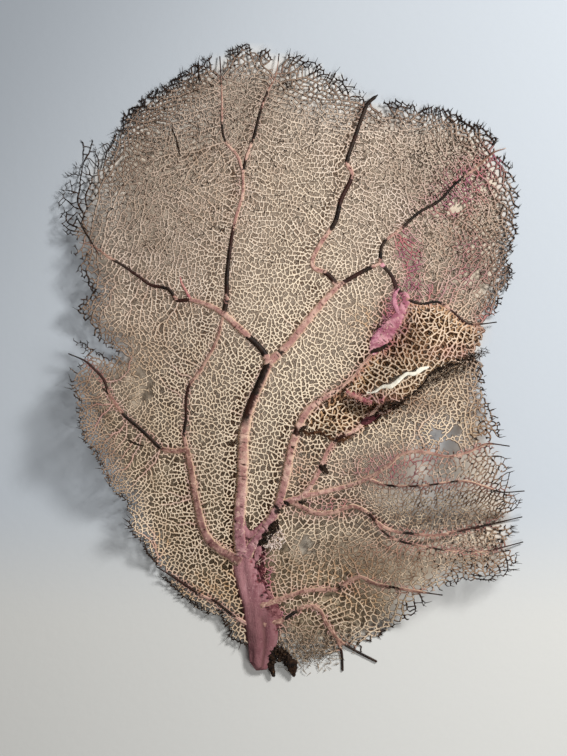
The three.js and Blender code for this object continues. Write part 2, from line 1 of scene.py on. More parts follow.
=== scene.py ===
"""A dried sea fan lying on its back, looked down on: trunk, holdfast, branches and fine netting."""

import heapq
import math
from types import SimpleNamespace

import bpy
import numpy as np
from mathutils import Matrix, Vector
from mathutils.geometry import delaunay_2d_cdt


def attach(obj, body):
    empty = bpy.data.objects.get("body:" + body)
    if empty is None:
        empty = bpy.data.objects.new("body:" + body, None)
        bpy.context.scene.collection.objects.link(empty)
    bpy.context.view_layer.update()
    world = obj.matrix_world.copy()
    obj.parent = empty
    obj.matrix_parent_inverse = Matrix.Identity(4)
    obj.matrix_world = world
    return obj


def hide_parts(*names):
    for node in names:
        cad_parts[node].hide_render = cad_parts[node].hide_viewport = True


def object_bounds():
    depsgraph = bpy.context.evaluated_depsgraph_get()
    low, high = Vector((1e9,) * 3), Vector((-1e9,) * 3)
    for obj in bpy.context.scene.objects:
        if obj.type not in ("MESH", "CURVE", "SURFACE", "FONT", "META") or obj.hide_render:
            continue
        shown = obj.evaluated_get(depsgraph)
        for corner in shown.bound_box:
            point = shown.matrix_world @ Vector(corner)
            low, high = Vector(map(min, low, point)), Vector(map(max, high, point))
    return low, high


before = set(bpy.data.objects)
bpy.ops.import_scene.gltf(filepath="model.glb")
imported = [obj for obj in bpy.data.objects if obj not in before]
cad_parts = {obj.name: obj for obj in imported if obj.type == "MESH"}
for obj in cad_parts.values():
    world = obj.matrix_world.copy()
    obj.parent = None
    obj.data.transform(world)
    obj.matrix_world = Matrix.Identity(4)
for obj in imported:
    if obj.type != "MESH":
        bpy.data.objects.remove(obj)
LOW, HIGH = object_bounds()

# Plan coordinates are points of the photograph in its pixels, with y running down.
PHOTO_WIDTH, PHOTO_HEIGHT = 567, 756
MM_PER_PIXEL = 0.8
MIDDLE = np.array([289.7, 360.24])
NET_HALF_THICKNESS = 0.75
FOOT = np.array([250.0, 612.0])  # where the fan grows out from

# Each branch: its points, its half-widths at the root and the tip in millimetres, and the stretches
# that have lost their crust, counted in points along it.
BRANCHES = {
    "trunk": ([(259, 664), (261, 650), (262, 636), (260, 620), (256, 602), (250, 584), (246, 568),
        (243, 548)], [7.5, 10.5, 13, 13.8, 12.4, 11, 10, 6.5], []),
    "centre_branch": ([(242, 554), (239, 532), (240, 508), (242, 484), (243, 458), (244, 434), (248, 412),
        (256, 392), (263, 376), (269, 362)], [4.6, 3.8], []),
    "right_branch": ([(245, 556), (256, 540), (268, 524), (278, 506), (283, 488), (288, 466), (292, 446),
        (299, 426), (307, 411), (322, 399), (338, 389), (353, 377), (363, 364), (372, 353)], [4.2, 2.1],
        [(2.7, 3.05), (6.6, 6.9)]),
    "left_branch": ([(240, 562), (231, 556), (220, 550), (209, 540), (202, 526), (198, 508), (194, 490),
        (191, 470), (187, 450)], [3.8, 2.4], []),
    "left_crown_branch": ([(269, 362), (262, 350), (250, 338), (238, 327), (224, 314)], [3.1, 2.6],
        [(0.5, 2.2)]),
    "diagonal_branch": ([(269, 362), (281, 352), (294, 338), (307, 321), (322, 303), (338, 286)], [3.3, 2.7],
        [(0.75, 1.05)]),
    "crown_branch": ([(224, 314), (227, 297), (227, 278), (229, 258), (232, 236), (237, 214), (243, 192),
        (243, 172), (248, 152), (254, 136), (260, 112), (267, 92), (276, 74), (280, 43)], [2.4, 1.3],
        [(0.1, 0.8), (1, 4.4), (7, 7.7), (8.6, 10.3), (10.5, 11), (12.5, 13)]),
    "left_shoulder_branch": ([(224, 314), (212, 307), (200, 302), (188, 300), (177, 300), (168, 289),
        (151, 285), (138, 276), (122, 265), (108, 257), (94, 247), (80, 243)], [2.2, 1.1], [(2.7, 4),
        (4.3, 8.7)]),
    "right_link_branch": ([(338, 286), (358, 274), (380, 263)], [2.3, 2.1], [(0.2, 1.7)]),
    "top_right_branch": ([(338, 286), (327, 274), (314, 268), (313, 258), (321, 243), (335, 222), (341, 200),
        (352, 176), (347, 162), (354, 140), (362, 117), (368, 103), (378, 94)], [2.1, 1.5], [(0.3, 1.2),
        (4.6, 7), (7.9, 12)]),
    "blade_branch": ([(380, 263), (391, 275), (397, 289), (406, 299), (400, 314), (391, 328), (380, 343),
        (372, 353)], [1.8, 2.0, 2.2, 3.2, 4.4, 5.8, 5.6, 2.6], [(0.3, 2.5)]),
    "right_shoulder_branch": ([(380, 263), (383, 244), (402, 228), (418, 213), (440, 200), (455, 184),
        (474, 169), (494, 152), (507, 147)], [1.9, 1.2], [(0.1, 1.2), (2, 5.6)]),
    "fold_branch": ([(406, 299), (421, 304), (438, 302), (452, 311), (466, 323), (480, 324), (497, 322)],
        [1.4, 1.1], [(0.15, 2.4), (2.9, 4.6), (5, 6)]),
    "left_outer_branch": ([(187, 450), (174, 451), (161, 448), (150, 438), (138, 427), (127, 418), (117, 407),
        (109, 394), (103, 379), (95, 370), (85, 361), (69, 354)], [2, 1.2], [(2, 5.5), (7.2, 11)]),
    "left_link_branch": ([(187, 450), (184, 435), (186, 418), (186, 402), (189, 386), (198, 374), (208, 358),
        (217, 340), (224, 314)], [1.5, 1.2], [(1, 4.3)]),
    "crown_side_branch": ([(243, 172), (237, 155), (226, 142), (222, 126), (222, 104), (221, 78), (219, 46)],
        [1.6, 1.1], [(2, 3.3), (4.9, 6)]),
    "pocket_branch": ([(278, 506), (290, 500), (302, 496), (313, 482), (321, 466), (328, 450), (338, 438),
        (356, 429), (369, 417), (382, 402)], [2.3, 1.4], [(3.9, 4.2), (5.6, 6.4)]),
    "right_middle_branch": ([(302, 496), (322, 492), (346, 486), (368, 478), (386, 466), (403, 453),
        (424, 452), (446, 456), (466, 452), (486, 444), (508, 446)], [2, 1.1], [(9.2, 10)]),
    "right_small_branch": ([(368, 478), (384, 484), (404, 485), (426, 484), (446, 481), (464, 480),
        (482, 485), (500, 491), (523, 490)], [1.3, 1.1], [(1.1, 1.7), (2.1, 2.7), (3.1, 3.6), (4.1, 4.5),
        (6.4, 8)]),
    "right_lower_branch": ([(290, 500), (302, 507), (316, 513), (334, 512), (352, 506), (366, 511),
        (376, 521), (390, 530), (412, 534), (436, 536), (462, 531), (490, 525), (523, 517)], [2.1, 1.2],
        [(5.2, 6), (7.5, 8.2), (9.7, 12)]),
    "skirt_branch": ([(376, 521), (385, 533), (398, 541), (424, 547), (452, 551), (484, 552), (504, 548),
        (524, 543)], [1.3, 1.1], [(0.7, 1.6), (1.9, 2.7), (3.2, 3.7), (4.3, 4.6), (5.2, 7)]),
    "foot_branch": ([(260, 606), (282, 599), (302, 592), (320, 590), (337, 590), (348, 582), (360, 577),
        (376, 583), (398, 587), (420, 590), (441, 593)], [2, 1.2], [(4, 4.6), (7.5, 8), (9.2, 10)]),
    "twig_branch": ([(264, 625), (281, 621), (296, 612), (309, 606), (320, 611), (326, 623), (338, 640),
        (352, 650), (377, 663)], [1.9, 1.2], [(1.2, 2.2), (6.5, 8)]),
    "twig_fork": ([(338, 640), (342, 654), (343, 672)], [1.2, 1.1], [(0.6, 2)]),
    "low_left_branch": ([(256, 628), (238, 619), (226, 610), (216, 602), (200, 595), (180, 582), (156, 567)],
        [1.5, 1.1], [(1.2, 3.4), (4, 6)]),
}

# Stretches of the rim, clockwise, each between two branch tips.
RIMS = {
    "foot_left": [(252, 648), (240, 645), (229, 640), (225, 628), (221, 618), (205, 614), (192, 607),
        (180, 598), (168, 586), (159, 574)],
    "lower_left": [(153, 563), (146, 554), (141, 542), (131, 533), (127, 516), (127, 502), (116, 493),
        (109, 483), (103, 467), (94, 450), (85, 437), (82, 420), (78, 401), (73, 386), (71, 369), (79, 364)],
    "left_outer": [(82, 353), (73, 340), (84, 338), (94, 348), (108, 356), (113, 352), (98, 341), (89, 326),
        (78, 311), (80, 301), (93, 293), (86, 280), (75, 268), (80, 259), (66, 252), (72, 246)],
    "upper_left": [(67, 237), (62, 226), (59, 211), (55, 200), (61, 184), (64, 174), (74, 166), (77, 154),
        (81, 141), (90, 137), (97, 146), (111, 136), (119, 123), (124, 108), (134, 103), (140, 99), (158, 86),
        (174, 75), (190, 65), (200, 58), (211, 55)],
    "crown_left": [(229, 45), (243, 42), (260, 44), (272, 47)],
    "crown": [(288, 48), (303, 56), (318, 60), (330, 71), (340, 71), (353, 85), (367, 93)],
    "upper_right": [(386, 98), (402, 100), (421, 105), (440, 105), (456, 111), (469, 120), (484, 124),
        (500, 138)],
    "right_shoulder": [(505, 154), (513, 165), (519, 178), (521, 200), (519, 216), (518, 240), (512, 256),
        (515, 277), (504, 297), (499, 311)],
    "fold": [(486, 330), (481, 343), (477, 353), (460, 363), (443, 367), (430, 372), (420, 386), (406, 398),
        (390, 404), (372, 404), (354, 400), (341, 396)],
    "right_upper": [(486, 367), (485, 384), (490, 404), (501, 423), (499, 438)],
    "right_middle": [(505, 455), (512, 469), (508, 480), (516, 486)],
    "right_lower": [(521, 497), (521, 508)],
    "skirt_upper": [(518, 527), (516, 537)],
    "skirt_lower": [(521, 553), (517, 565), (501, 577), (480, 581), (459, 580), (446, 587)],
    "foot_right": [(434, 600), (420, 611), (402, 624), (386, 634), (376, 645), (364, 647), (361, 653)],
    "fringe": [(332, 655), (318, 656), (311, 667), (299, 672), (290, 660), (282, 648)],
}
HIDDEN_EDGES = {
    "pocket": [(330, 404), (342, 399), (368, 396)],
    "hidden": [(398, 388), (420, 372), (448, 360), (476, 356)],
}

# Each lobe's border: stretches of branches, by name and first and last point, and of the rim.
LOBES = {
    "net_foot_left": [("low_left_branch", 5, 1), ("trunk", 3, 1), "foot_left"],
    "net_lower_left": [("left_outer_branch", 10, 1), ("left_branch", 8, 1), ("trunk", 6, 3),
        ("low_left_branch", 1, 5), "lower_left"],
    "net_left_outer": [("left_shoulder_branch", 10, 1), ("left_link_branch", 8, 1),
        ("left_outer_branch", 0, 10), "left_outer"],
    "net_left_inner": [("left_link_branch", 0, 7), ("left_crown_branch", 4, 1), ("centre_branch", 9, 1),
        ("left_branch", 1, 7)],
    "net_upper_left": [("crown_side_branch", 5, 0), ("crown_branch", 6, 1), ("left_shoulder_branch", 0, 10),
        "upper_left"],
    "net_crown_left": [("crown_branch", 12, 8), ("crown_side_branch", 0, 5), "crown_left"],
    "net_crown": [("top_right_branch", 11, 1), ("diagonal_branch", 5, 1), ("left_crown_branch", 0, 4),
        ("crown_branch", 1, 12), "crown"],
    "net_upper_right": [("right_shoulder_branch", 7, 1), ("right_link_branch", 2, 1),
        ("top_right_branch", 0, 11), "upper_right"],
    "net_right_shoulder": [("fold_branch", 5, 1), ("blade_branch", 3, 1), ("right_shoulder_branch", 0, 7),
        "right_shoulder"],
    "net_heart": [("centre_branch", 2, 8), ("diagonal_branch", 0, 5), ("right_link_branch", 1, 2),
        ("blade_branch", 1, 6), ("right_branch", 13, 1)],
    "net_fold_pocket": [("right_branch", 4, 9), "pocket", ("pocket_branch", 8, 1)],
    "net_right_upper": [("pocket_branch", 2, 8), "hidden", "right_upper", ("right_middle_branch", 9, 1)],
    "net_right_middle": [("right_middle_branch", 3, 9), "right_middle", ("right_small_branch", 7, 1)],
    "net_right_lower": [("pocket_branch", 1, 2), ("right_middle_branch", 1, 3), ("right_small_branch", 1, 7),
        "right_lower", ("right_lower_branch", 11, 1)],
    "net_skirt_upper": [("right_lower_branch", 6, 11), "skirt_upper", ("skirt_branch", 6, 1)],
    "net_skirt_lower": [("trunk", 4, 6), ("right_branch", 1, 3), ("pocket_branch", 1, 1),
        ("right_lower_branch", 1, 6), ("skirt_branch", 1, 6), "skirt_lower", ("foot_branch", 9, 1)],
    "net_foot_right": [("trunk", 3, 4), ("foot_branch", 1, 9), "foot_right", ("twig_branch", 7, 1)],
    "net_foot_fringe": [("trunk", 1, 3), ("twig_branch", 1, 6), ("twig_fork", 1, 1), "fringe"],
}
FOLD_LOBE = [("right_branch", 11, 13), ("blade_branch", 6, 4), ("fold_branch", 0, 5), "fold"]


def smooth(low, high, x):
    """From 0 at low to 1 at high, with soft ends."""
    t = np.clip((x - low) / (high - low), 0, 1)
    return t * t * (3 - 2 * t)


def unit(rows):
    """Each row as a step of length one."""
    return rows / (np.linalg.norm(rows, axis=-1, keepdims=True) + 1e-9)


def swell(p, centre, reach, rise=1.0):
    """A rounded rise at a centre, that fades over its reach in x and y."""
    offset = (p - np.array(centre)) / np.array(reach)
    return rise * np.exp(-(offset**2).sum(-1))


def distance_to(p, row):
    """How far each point is from a row of points joined by lines."""
    row = np.array(row, float)
    best = np.full(len(p), 1e9)
    for a, b in zip(row[:-1], row[1:]):
        edge = b - a
        if not edge.any():
            continue
        share = np.clip(((p - a) @ edge) / (edge @ edge), 0, 1)
        best = np.minimum(best, np.linalg.norm(p - a - share[:, None] * edge, axis=1))
    return best


def inside(p, outline):
    found = np.zeros(len(p), bool)
    outline = np.array(outline, float)
    for a, b in zip(outline, np.roll(outline, -1, 0)):
        if a[1] == b[1]:
            continue
        crosses = (a[1] > p[:, 1]) != (b[1] > p[:, 1])
        found ^= crosses & (p[:, 0] < (b[0] - a[0]) * (p[:, 1] - a[1]) / (b[1] - a[1]) + a[0])
    return found


# The lie of the sheet, in millimetres above the surface.
def left_curl(p):
    x, y = p.T
    past = np.maximum(0, (118 + (y - 380) * 0.317 - x) / 50)
    return 44 * past**2 * smooth(335, 400, y) * (1 - smooth(535, 610, y))


def right_pleat(p):
    x, y = p.T
    ridge, valley, lower_rim = 474, 531, 584
    above = 0.5 * (1 + np.cos(np.pi * np.minimum(1, (ridge - y) / 85)))
    between = 0.5 * (1 + np.cos(np.pi * (y - ridge) / (valley - ridge)))
    below = 0.5 * (1 - np.cos(np.pi * np.minimum(1, (y - valley) / (lower_rim - valley))))
    across = np.where(y < ridge, above, np.where(y < valley, between, below))
    fade = np.where(y < valley, 1, 1 - smooth(588, 640, y))
    return 30 * across * fade * smooth(330, 440, x)


def sheet_rise(p):
    x, y = p.T
    from_middle = ((x - 290) / 235) ** 2 + ((y - 345) / 310) ** 2
    rise = 17.5 * np.exp(-1.5 * from_middle) - 3.6 * smooth(0.7, 1.2, from_middle)
    rise += swell(p, (58, 285), (62, 80), 20) + swell(p, (258, 640), (55, 60), 3.8)
    rise += 2.2 * np.sin(x / 34 + 1) * np.sin(y / 41) * (1 - smooth(0.75, 1, from_middle))
    rise += left_curl(p) + right_pleat(p)
    return np.maximum(rise, NET_HALF_THICKNESS)


def points_of(name):
    return BRANCHES[name][0]


FOLD_ROOT = points_of("right_branch")[10:] + points_of("blade_branch")[:2:-1] + points_of("fold_branch")
TUCKED_EDGE = HIDDEN_EDGES["pocket"] + [(382, 402)] + HIDDEN_EDGES["hidden"]


def fold_rise(p):
    return sheet_rise(p) + 21 * smooth(0, 46, distance_to(p, FOLD_ROOT))


def lining_rise(p):
    """The inner layer of the fold, between it and the surface."""
    return sheet_rise(p) + 0.35 * (fold_rise(p) - sheet_rise(p))


def tucked_rise(p):
    dip = 7 * (1 - smooth(0, 30, distance_to(p, TUCKED_EDGE)))
    bulge = swell(p, (338, 424), (17, 12), 8)
    return sheet_rise(p) + (bulge - dip) * smooth(0, 22, distance_to(p, points_of("right_branch")))


def under_tuck(p):
    """The folded edge that runs on under the pocket."""
    return np.maximum(0.9, np.minimum(tucked_rise(p), sheet_rise(p)) - 2.4)


def trunk_rise(p):
    """The lie of the stem's middle, which is lowest at the foot."""
    lowest = 5.5
    return lowest + (sheet_rise(p) - lowest) * (1 - smooth(548, 625, p[:, 1]))


def in_space(p, rise, offset=0.0):
    """Plan points on a sheet as points in space in metres, pushed off it along its normal."""
    step = 0.6
    slope_x, slope_y = ((rise(p + way) - rise(p - way)) / (2 * step * MM_PER_PIXEL)
                        for way in ([step, 0], [0, -step]))
    normal = unit(np.stack([-slope_x, -slope_y, np.ones(len(p))], 1))
    base = np.column_stack([(p - MIDDLE) * [MM_PER_PIXEL, -MM_PER_PIXEL], rise(p)])
    return (base + normal * np.broadcast_to(offset, len(p))[:, None]) / 1000


def plan_of(points):
    """The plan points that points in space lie over."""
    return points[:, :2] * 1000 / MM_PER_PIXEL * [1, -1] + MIDDLE


def level(height):
    """The lie of a level sheet."""
    return lambda p: np.full(len(p), height)


def border_of(parts):
    """A lobe's border as one outline in plan."""
    outline = []
    for part in parts:
        if isinstance(part, str):
            outline += RIMS.get(part) or HIDDEN_EDGES[part]
        else:
            name, first, last = part
            row = points_of(name)
            outline += row[first:last + 1] if first <= last else row[last:first + 1][::-1]
    return outline


def lobe_borders():
    return [border_of(parts) for parts in LOBES.values()]


def noise_at(p, scale, seed, waves=6):
    """Smooth random numbers from -1 to 1 over the plan."""
    rng = np.random.default_rng(seed)
    total = np.zeros(len(p))
    for _ in range(waves):
        angle, phase = rng.uniform(0, 2 * np.pi, 2)
        wave = rng.uniform(0.6, 1.6) * 2 * np.pi / scale
        total += np.sin(wave * (p[:, 0] * math.cos(angle) + p[:, 1] * math.sin(angle)) + phase)
    return total / 3.2  # about as high as the waves come together


# The netting, beginning with its tears: the middle and reach of each.
TEARS = [
    ((305, 545), (6, 8)), ((283, 548), (4, 4)), ((266, 535), (5, 6)), ((435, 434), (6, 5)),
    ((449, 446), (9, 6)), ((482, 440), (5, 5)), ((410, 470), (4, 3)), ((428, 477), (3, 2)),
    ((430, 494), (3, 2)), ((485, 288), (5, 4)), ((476, 276), (3, 4)), ((458, 207), (6, 4)),
    ((385, 110), (3.5, 6)), ((511, 256), (3.5, 3)), ((109, 353), (5, 4)), ((126, 359), (4, 3)),
    ((139, 372), (4, 5)), ((147, 395), (5, 4)), ((150, 385), (3, 4)), ((248, 546), (3, 5)),
    ((455, 431), (5, 4)), ((330, 596), (4, 3)),
]
# The long slit in the fold.
SLIT = [
    (425, 366), (415, 369), (405, 372), (395, 377), (385, 383), (375, 388), (366, 393), (383, 388),
    (393, 383), (403, 378), (413, 374), (424, 371),
]
# Netting folded in under the pocket and the lip.
TUCKED_NET = [
    (312, 404), (322, 396), (338, 386), (352, 378), (372, 388), (390, 398), (404, 402), (400, 414),
    (384, 420), (366, 428), (346, 438), (322, 436), (306, 424),
]
# Open, bare, black lace: centre, reach and strength.
LACE = [
    ((74, 182), (22, 46), 1.0), ((92, 150), (20, 16), 0.9), ((70, 262), (14, 40), 0.6),
    ((78, 350), (12, 20), 0.5), ((516, 490), (14, 74), 0.2), ((494, 430), (14, 26), 0.3),
    ((424, 604), (26, 14), 0.9), ((304, 664), (16, 12), 0.9), ((514, 180), (12, 40), 0.3),
    ((368, 648), (18, 10), 0.6), ((276, 46), (14, 10), 0.4), ((300, 66), (50, 14), 0.35),
    ((228, 62), (34, 12), 0.35), ((430, 114), (50, 12), 0.3), ((350, 86), (20, 14), 0.3),
    ((330, 88), (36, 22), 0.3),
]
# Pink wash on the netting.
BLUSH = [
    ((470, 180), (26, 22), 0.9), ((445, 205), (26, 16), 0.7), ((408, 250), (12, 22), 0.9),
    ((470, 246), (18, 14), 0.6), ((468, 275), (22, 12), 0.7), ((430, 300), (26, 8), 0.5),
    ((488, 318), (16, 12), 0.6), ((395, 320), (16, 22), 1.0), ((384, 342), (13, 14), 0.9),
    ((404, 244), (10, 12), 1.0), ((415, 264), (9, 14), 1.0), ((410, 285), (16, 9), 0.9),
    ((438, 290), (24, 8), 0.5), ((384, 470), (40, 14), 0.7), ((420, 456), (40, 10), 0.5),
    ((430, 484), (40, 6), 0.5), ((316, 510), (30, 10), 0.5), ((340, 505), (30, 12), 0.4),
    ((240, 190), (8, 30), 0.25), ((420, 548), (50, 8), 0.3), ((330, 590), (40, 6), 0.35),
    ((372, 398), (26, 7), 0.8), ((452, 352), (30, 8), 0.5), ((500, 155), (14, 14), 0.8),
    ((300, 470), (14, 30), 0.25), ((267, 575), (7, 34), 0.9), ((278, 616), (9, 14), 0.9),
    ((393, 306), (8, 10), 0.9),
]
# Hollow places where the strands are thick, with painted shade that darkens them between their crests.
HOLLOWS = [
    ((338, 418), (26, 16), 1.0), ((415, 395), (40, 14), 0.7), ((440, 335), (44, 34), 0.68),
    ((408, 352), (30, 18), 0.7), ((360, 385), (30, 10), 0.6), ((300, 430), (16, 16), 0.3),
    ((150, 325), (30, 26), 0.4),
]
# Places painted darker and greyer: in part painted shade, as under the fold and over the lower skirt, in part
# grey dust.
DUST_AND_SHADE = [
    ((334, 84), (46, 22), 0.9), ((418, 405), (34, 12), 0.9), ((366, 412), (18, 8), 0.6),
    ((500, 470), (34, 60), 0.5), ((480, 262), (34, 40), 0.8), ((350, 556), (60, 22), 0.75),
    ((310, 640), (46, 26), 0.9), ((286, 580), (24, 40), 0.45), ((205, 470), (26, 60), 0.2),
    ((450, 170), (60, 60), 0.62), ((140, 215), (64, 70), 0.55), ((92, 430), (36, 80), 0.65),
    ((430, 545), (80, 60), 0.15), ((300, 84), (90, 34), 0.45), ((215, 105), (70, 50), 0.4),
    ((165, 150), (50, 40), 0.3),
]
# Where the surface shows grey through wide holes, without the painted warm shade under the fan.
GREY_GROUND = [
    ((440, 438), (26, 20), 0.8), ((305, 546), (12, 12), 0.3), ((436, 496), (50, 36), 0.55),
]
# Painted light on the surface, where it shows bright through the netting near the upper rim.
GLINTS = [
    ((325, 92), (38, 26), 0.9), ((348, 118), (20, 16), 0.5), ((165, 112), (50, 28), 0.7),
    ((108, 190), (22, 44), 0.5), ((255, 56), (60, 14), 0.6), ((430, 118), (50, 14), 0.4),
]
# Golden brown netting.
AMBER = [
    ((335, 572), (56, 18), 1.0), ((205, 590), (40, 18), 0.7), ((232, 566), (12, 40), 0.5),
    ((430, 455), (34, 10), 0.7), ((366, 318), (14, 14), 0.7), ((392, 548), (50, 12), 0.6),
    ((366, 602), (44, 16), 0.7), ((135, 360), (24, 20), 0.5), ((420, 335), (60, 40), 0.45),
    ((342, 424), (30, 14), 0.7), ((470, 235), (44, 50), 0.5), ((160, 540), (20, 14), 0.6),
    ((300, 470), (20, 24), 0.5), ((200, 180), (60, 60), 0.3),
]
# Palest netting.
CREAM = [
    ((275, 420), (50, 110), 0.65), ((335, 425), (40, 26), 0.9), ((310, 370), (60, 40), 0.6),
    ((310, 280), (90, 60), 0.7), ((300, 190), (60, 40), 0.45), ((305, 110), (50, 40), 0.3),
    ((300, 560), (60, 60), 0.35), ((215, 450), (50, 90), 0.4), ((440, 330), (40, 30), 0.15),
    ((420, 300), (40, 30), 0.3), ((430, 410), (50, 26), 0.4), ((160, 520), (40, 60), 0.3),
]


def total_of(p, spots):
    return sum(swell(p, centre, reach, strength) for centre, reach, strength in spots)


SMALL_BRANCHES = ("trunk", "right_link_branch", "fold_branch", "crown_side_branch", "right_small_branch",
                  "skirt_branch", "twig_branch", "twig_fork", "low_left_branch")
MAIN_VEINS = [name for name in BRANCHES if name not in SMALL_BRANCHES]
RIM_LOOP = [q for key, row in RIMS.items() if key != "fold" for q in row]


def rim_distance(p):
    return distance_to(p, RIM_LOOP + RIM_LOOP[:1])


def nearest_of(p, names, share=0.0):
    """How far each point is from the nearest of some branches, less a share of its greatest half-width."""
    return np.min([distance_to(p, points_of(name)) - share * max(BRANCHES[name][1]) / MM_PER_PIXEL
                   for name in names], 0)


def within(p, left, right, top, bottom):
    return (p[:, 0] > left) & (p[:, 0] < right) & (p[:, 1] > top) & (p[:, 1] < bottom)


def cell_pitch(p):
    """How far apart the net's cells are, in pixels."""
    x, y = p.T
    radius = np.linalg.norm(p - FOOT, axis=1)
    pitch = 4.5 - 0.35 * smooth(250, 450, radius) - 0.4 * smooth(250, 225, x) * smooth(330, 240, radius)
    pitch += 0.3 * smooth(225, 265, x - FOOT[0]) * smooth(380, 440, y)
    pitch += swell(p, (338, 416), (26, 14), 1.6) + swell(p, (362, 616), (60, 34), 1.2)
    pitch += swell(p, (330, 560), (50, 30), 0.6)
    return pitch + 4.4 * np.minimum(1, total_of(p, LACE))


def pulled_lengthways(p):
    """Where the cells are drawn out along the branches of the lower right."""
    x, y = p.T
    return smooth(330, 430, x) * smooth(425, 465, y) * smooth(600, 572, y)


class FlatSheet:
    """The sheet rolled flat: plan points for distances measured along its curls and pleats."""

    def __init__(self):
        self.step, self.x0, self.y0 = 3.0, 40.0, 20.0
        right, bottom = 545, 700
        xs, ys = np.arange(self.x0, right, self.step), np.arange(self.y0, bottom, self.step)
        grid = np.stack(np.meshgrid(xs, ys), -1).reshape(-1, 2)
        z = sheet_rise(grid).reshape(len(ys), len(xs)) / MM_PER_PIXEL
        uncurled = z - left_curl(grid).reshape(z.shape) / MM_PER_PIXEL
        along_x = np.cumsum(np.hypot(self.step, np.diff(z, axis=1, prepend=z[:, :1])), 1)
        along_y = np.cumsum(np.hypot(self.step, np.diff(uncurled, axis=0, prepend=uncurled[:1])), 0)
        along_x -= along_x[:, [int((FOOT[0] - self.x0) / self.step)]]
        along_y -= along_y[[int((FOOT[1] - self.y0) / self.step)], :]
        self.tables = np.stack([along_x, along_y], -1)

    def along(self, p):
        """Distances along the sheet from the foot, and how fast they grow, at plan points."""
        rows, columns = self.tables.shape[:2]
        x = np.clip((p[:, 0] - self.x0) / self.step, 0, columns - 1.001)
        y = np.clip((p[:, 1] - self.y0) / self.step, 0, rows - 1.001)
        i, j = y.astype(int), x.astype(int)
        fx, fy = (x - j)[:, None], (y - i)[:, None]
        a, b = self.tables[i, j], self.tables[i, j + 1]
        c, d = self.tables[i + 1, j], self.tables[i + 1, j + 1]
        here = (a * (1 - fx) + b * fx) * (1 - fy) + (c * (1 - fx) + d * fx) * fy
        growth = np.stack([(b - a)[:, 0], (c - a)[:, 1]], 1) / self.step
        return here, np.maximum(growth, 1)

    def plan(self, flat, rounds=14, share=0.8):
        """The plan points at given distances along the sheet, found in rounds that each close a share."""
        p = FOOT + flat
        for _ in range(rounds):
            here, growth = self.along(p)
            p = p + share * (flat - here) / growth
        return p


def cell_middles(seed, coarseness):
    """The middles of the net's cells: staggered rings round the foot, drawn out along the veins."""
    rng = np.random.default_rng(seed)
    sheet = FlatSheet()
    first, farthest, spoke_count, evened = 8.0, 900, 1500, 20
    around = np.linspace(0, 2 * np.pi, spoke_count)
    spokes = np.stack([np.cos(around), np.sin(around)], 1)
    middles = []
    radius, ring = np.full(len(around), first), 0
    while radius.min() < farthest:
        here = sheet.plan(radius[:, None] * spokes)
        pitch = cell_pitch(here) * coarseness
        pulled = pulled_lengthways(here)
        spacing = pitch * (0.88 + 0.1 * smooth(300, 420, radius) - 0.27 * pulled)
        count = np.concatenate([[0], np.cumsum(radius[1:] * np.diff(around) / spacing[1:])])
        wanted = np.arange(0.5 * (ring % 2) + rng.uniform(0, 0.2), count[-1])
        angle = np.interp(wanted, count, around)
        out = np.interp(wanted, count, radius)
        reach = out + np.interp(wanted, count, pitch) * rng.normal(0, 0.25, len(out))
        turn = np.interp(wanted, count, spacing) * rng.normal(0, 0.22, len(out)) / out
        middles.append(sheet.plan(reach[:, None] * np.stack([np.cos(angle + turn), np.sin(angle + turn)], 1)))
        step = pitch * (1.04 + 0.5 * pulled)
        step = np.concatenate([step[-evened - 1:-1], step, step[1:evened + 1]])
        window = 2 * evened + 1
        radius = radius + np.convolve(step, np.full(window, 1 / window), "valid")
        ring += 1
    middles = np.concatenate(middles)
    farthest_push, fade = 9, 13
    push = farthest_push * np.exp(-nearest_of(middles, MAIN_VEINS) / fade)
    middles = middles + unit(middles - FOOT) * push[:, None]
    return middles[within(middles, 46, 532, 34, 684)]


class Net:
    """The graph of strands between cells: each Delaunay triangle of cell middles is a strand's end."""

    def __init__(self, seed, coarseness=1.0):
        middles = cell_middles(seed, coarseness)
        points, _, faces, *_ = delaunay_2d_cdt([Vector(m) for m in middles], [], [], 0, 1e-5)
        self.cells = np.array([tuple(p) for p in points])
        self.corners = np.array(faces)
        a, b, c = (self.cells[self.corners[:, k]] for k in range(3))
        turned = np.cross(b - a, c - a) < 0
        self.corners[turned] = self.corners[turned][:, ::-1]
        rng = np.random.default_rng(seed + 1)
        spread = np.linalg.norm(b - a, axis=1)[:, None]
        self.ends = (a + b + c) / 3 + rng.normal(0, 0.075, (len(a), 2)) * np.minimum(spread, 6)
        self.across = self.neighbours()

    def straighten(self, parent, flow):
        """Draw each strand into line with the strands that it carries on from and feeds most."""
        order = np.argsort(flow, kind="stable")
        order = order[parent[order] >= 0]
        child = np.full(len(parent), -1)
        child[parent[order]] = order
        both = (parent >= 0) & (child >= 0)
        for _ in range(3):
            between = (self.ends[parent] + self.ends[child]) / 2
            self.ends[both] += 0.5 * (between - self.ends)[both]

    def neighbours(self):
        """For each triangle and each of its edges, the triangle on the edge's other side, or -1."""
        count = len(self.corners)
        start = self.corners.reshape(-1)
        stop = np.roll(self.corners, -1, axis=1).reshape(-1)
        key = np.minimum(start, stop).astype(np.int64) * (len(self.cells) + 1) + np.maximum(start, stop)
        order = np.argsort(key, kind="stable")
        same = key[order][1:] == key[order][:-1]
        across = np.full(count * 3, -1)
        first, second = order[:-1][same], order[1:][same]
        across[first], across[second] = second // 3, first // 3
        return across.reshape(-1, 3)


def membership(p, lobes):
    """Which lobe each plan point is in, or -1."""
    found = np.full(len(p), -1)
    for i, outline in enumerate(lobes):
        found[inside(p, outline) & (found < 0)] = i
    return found


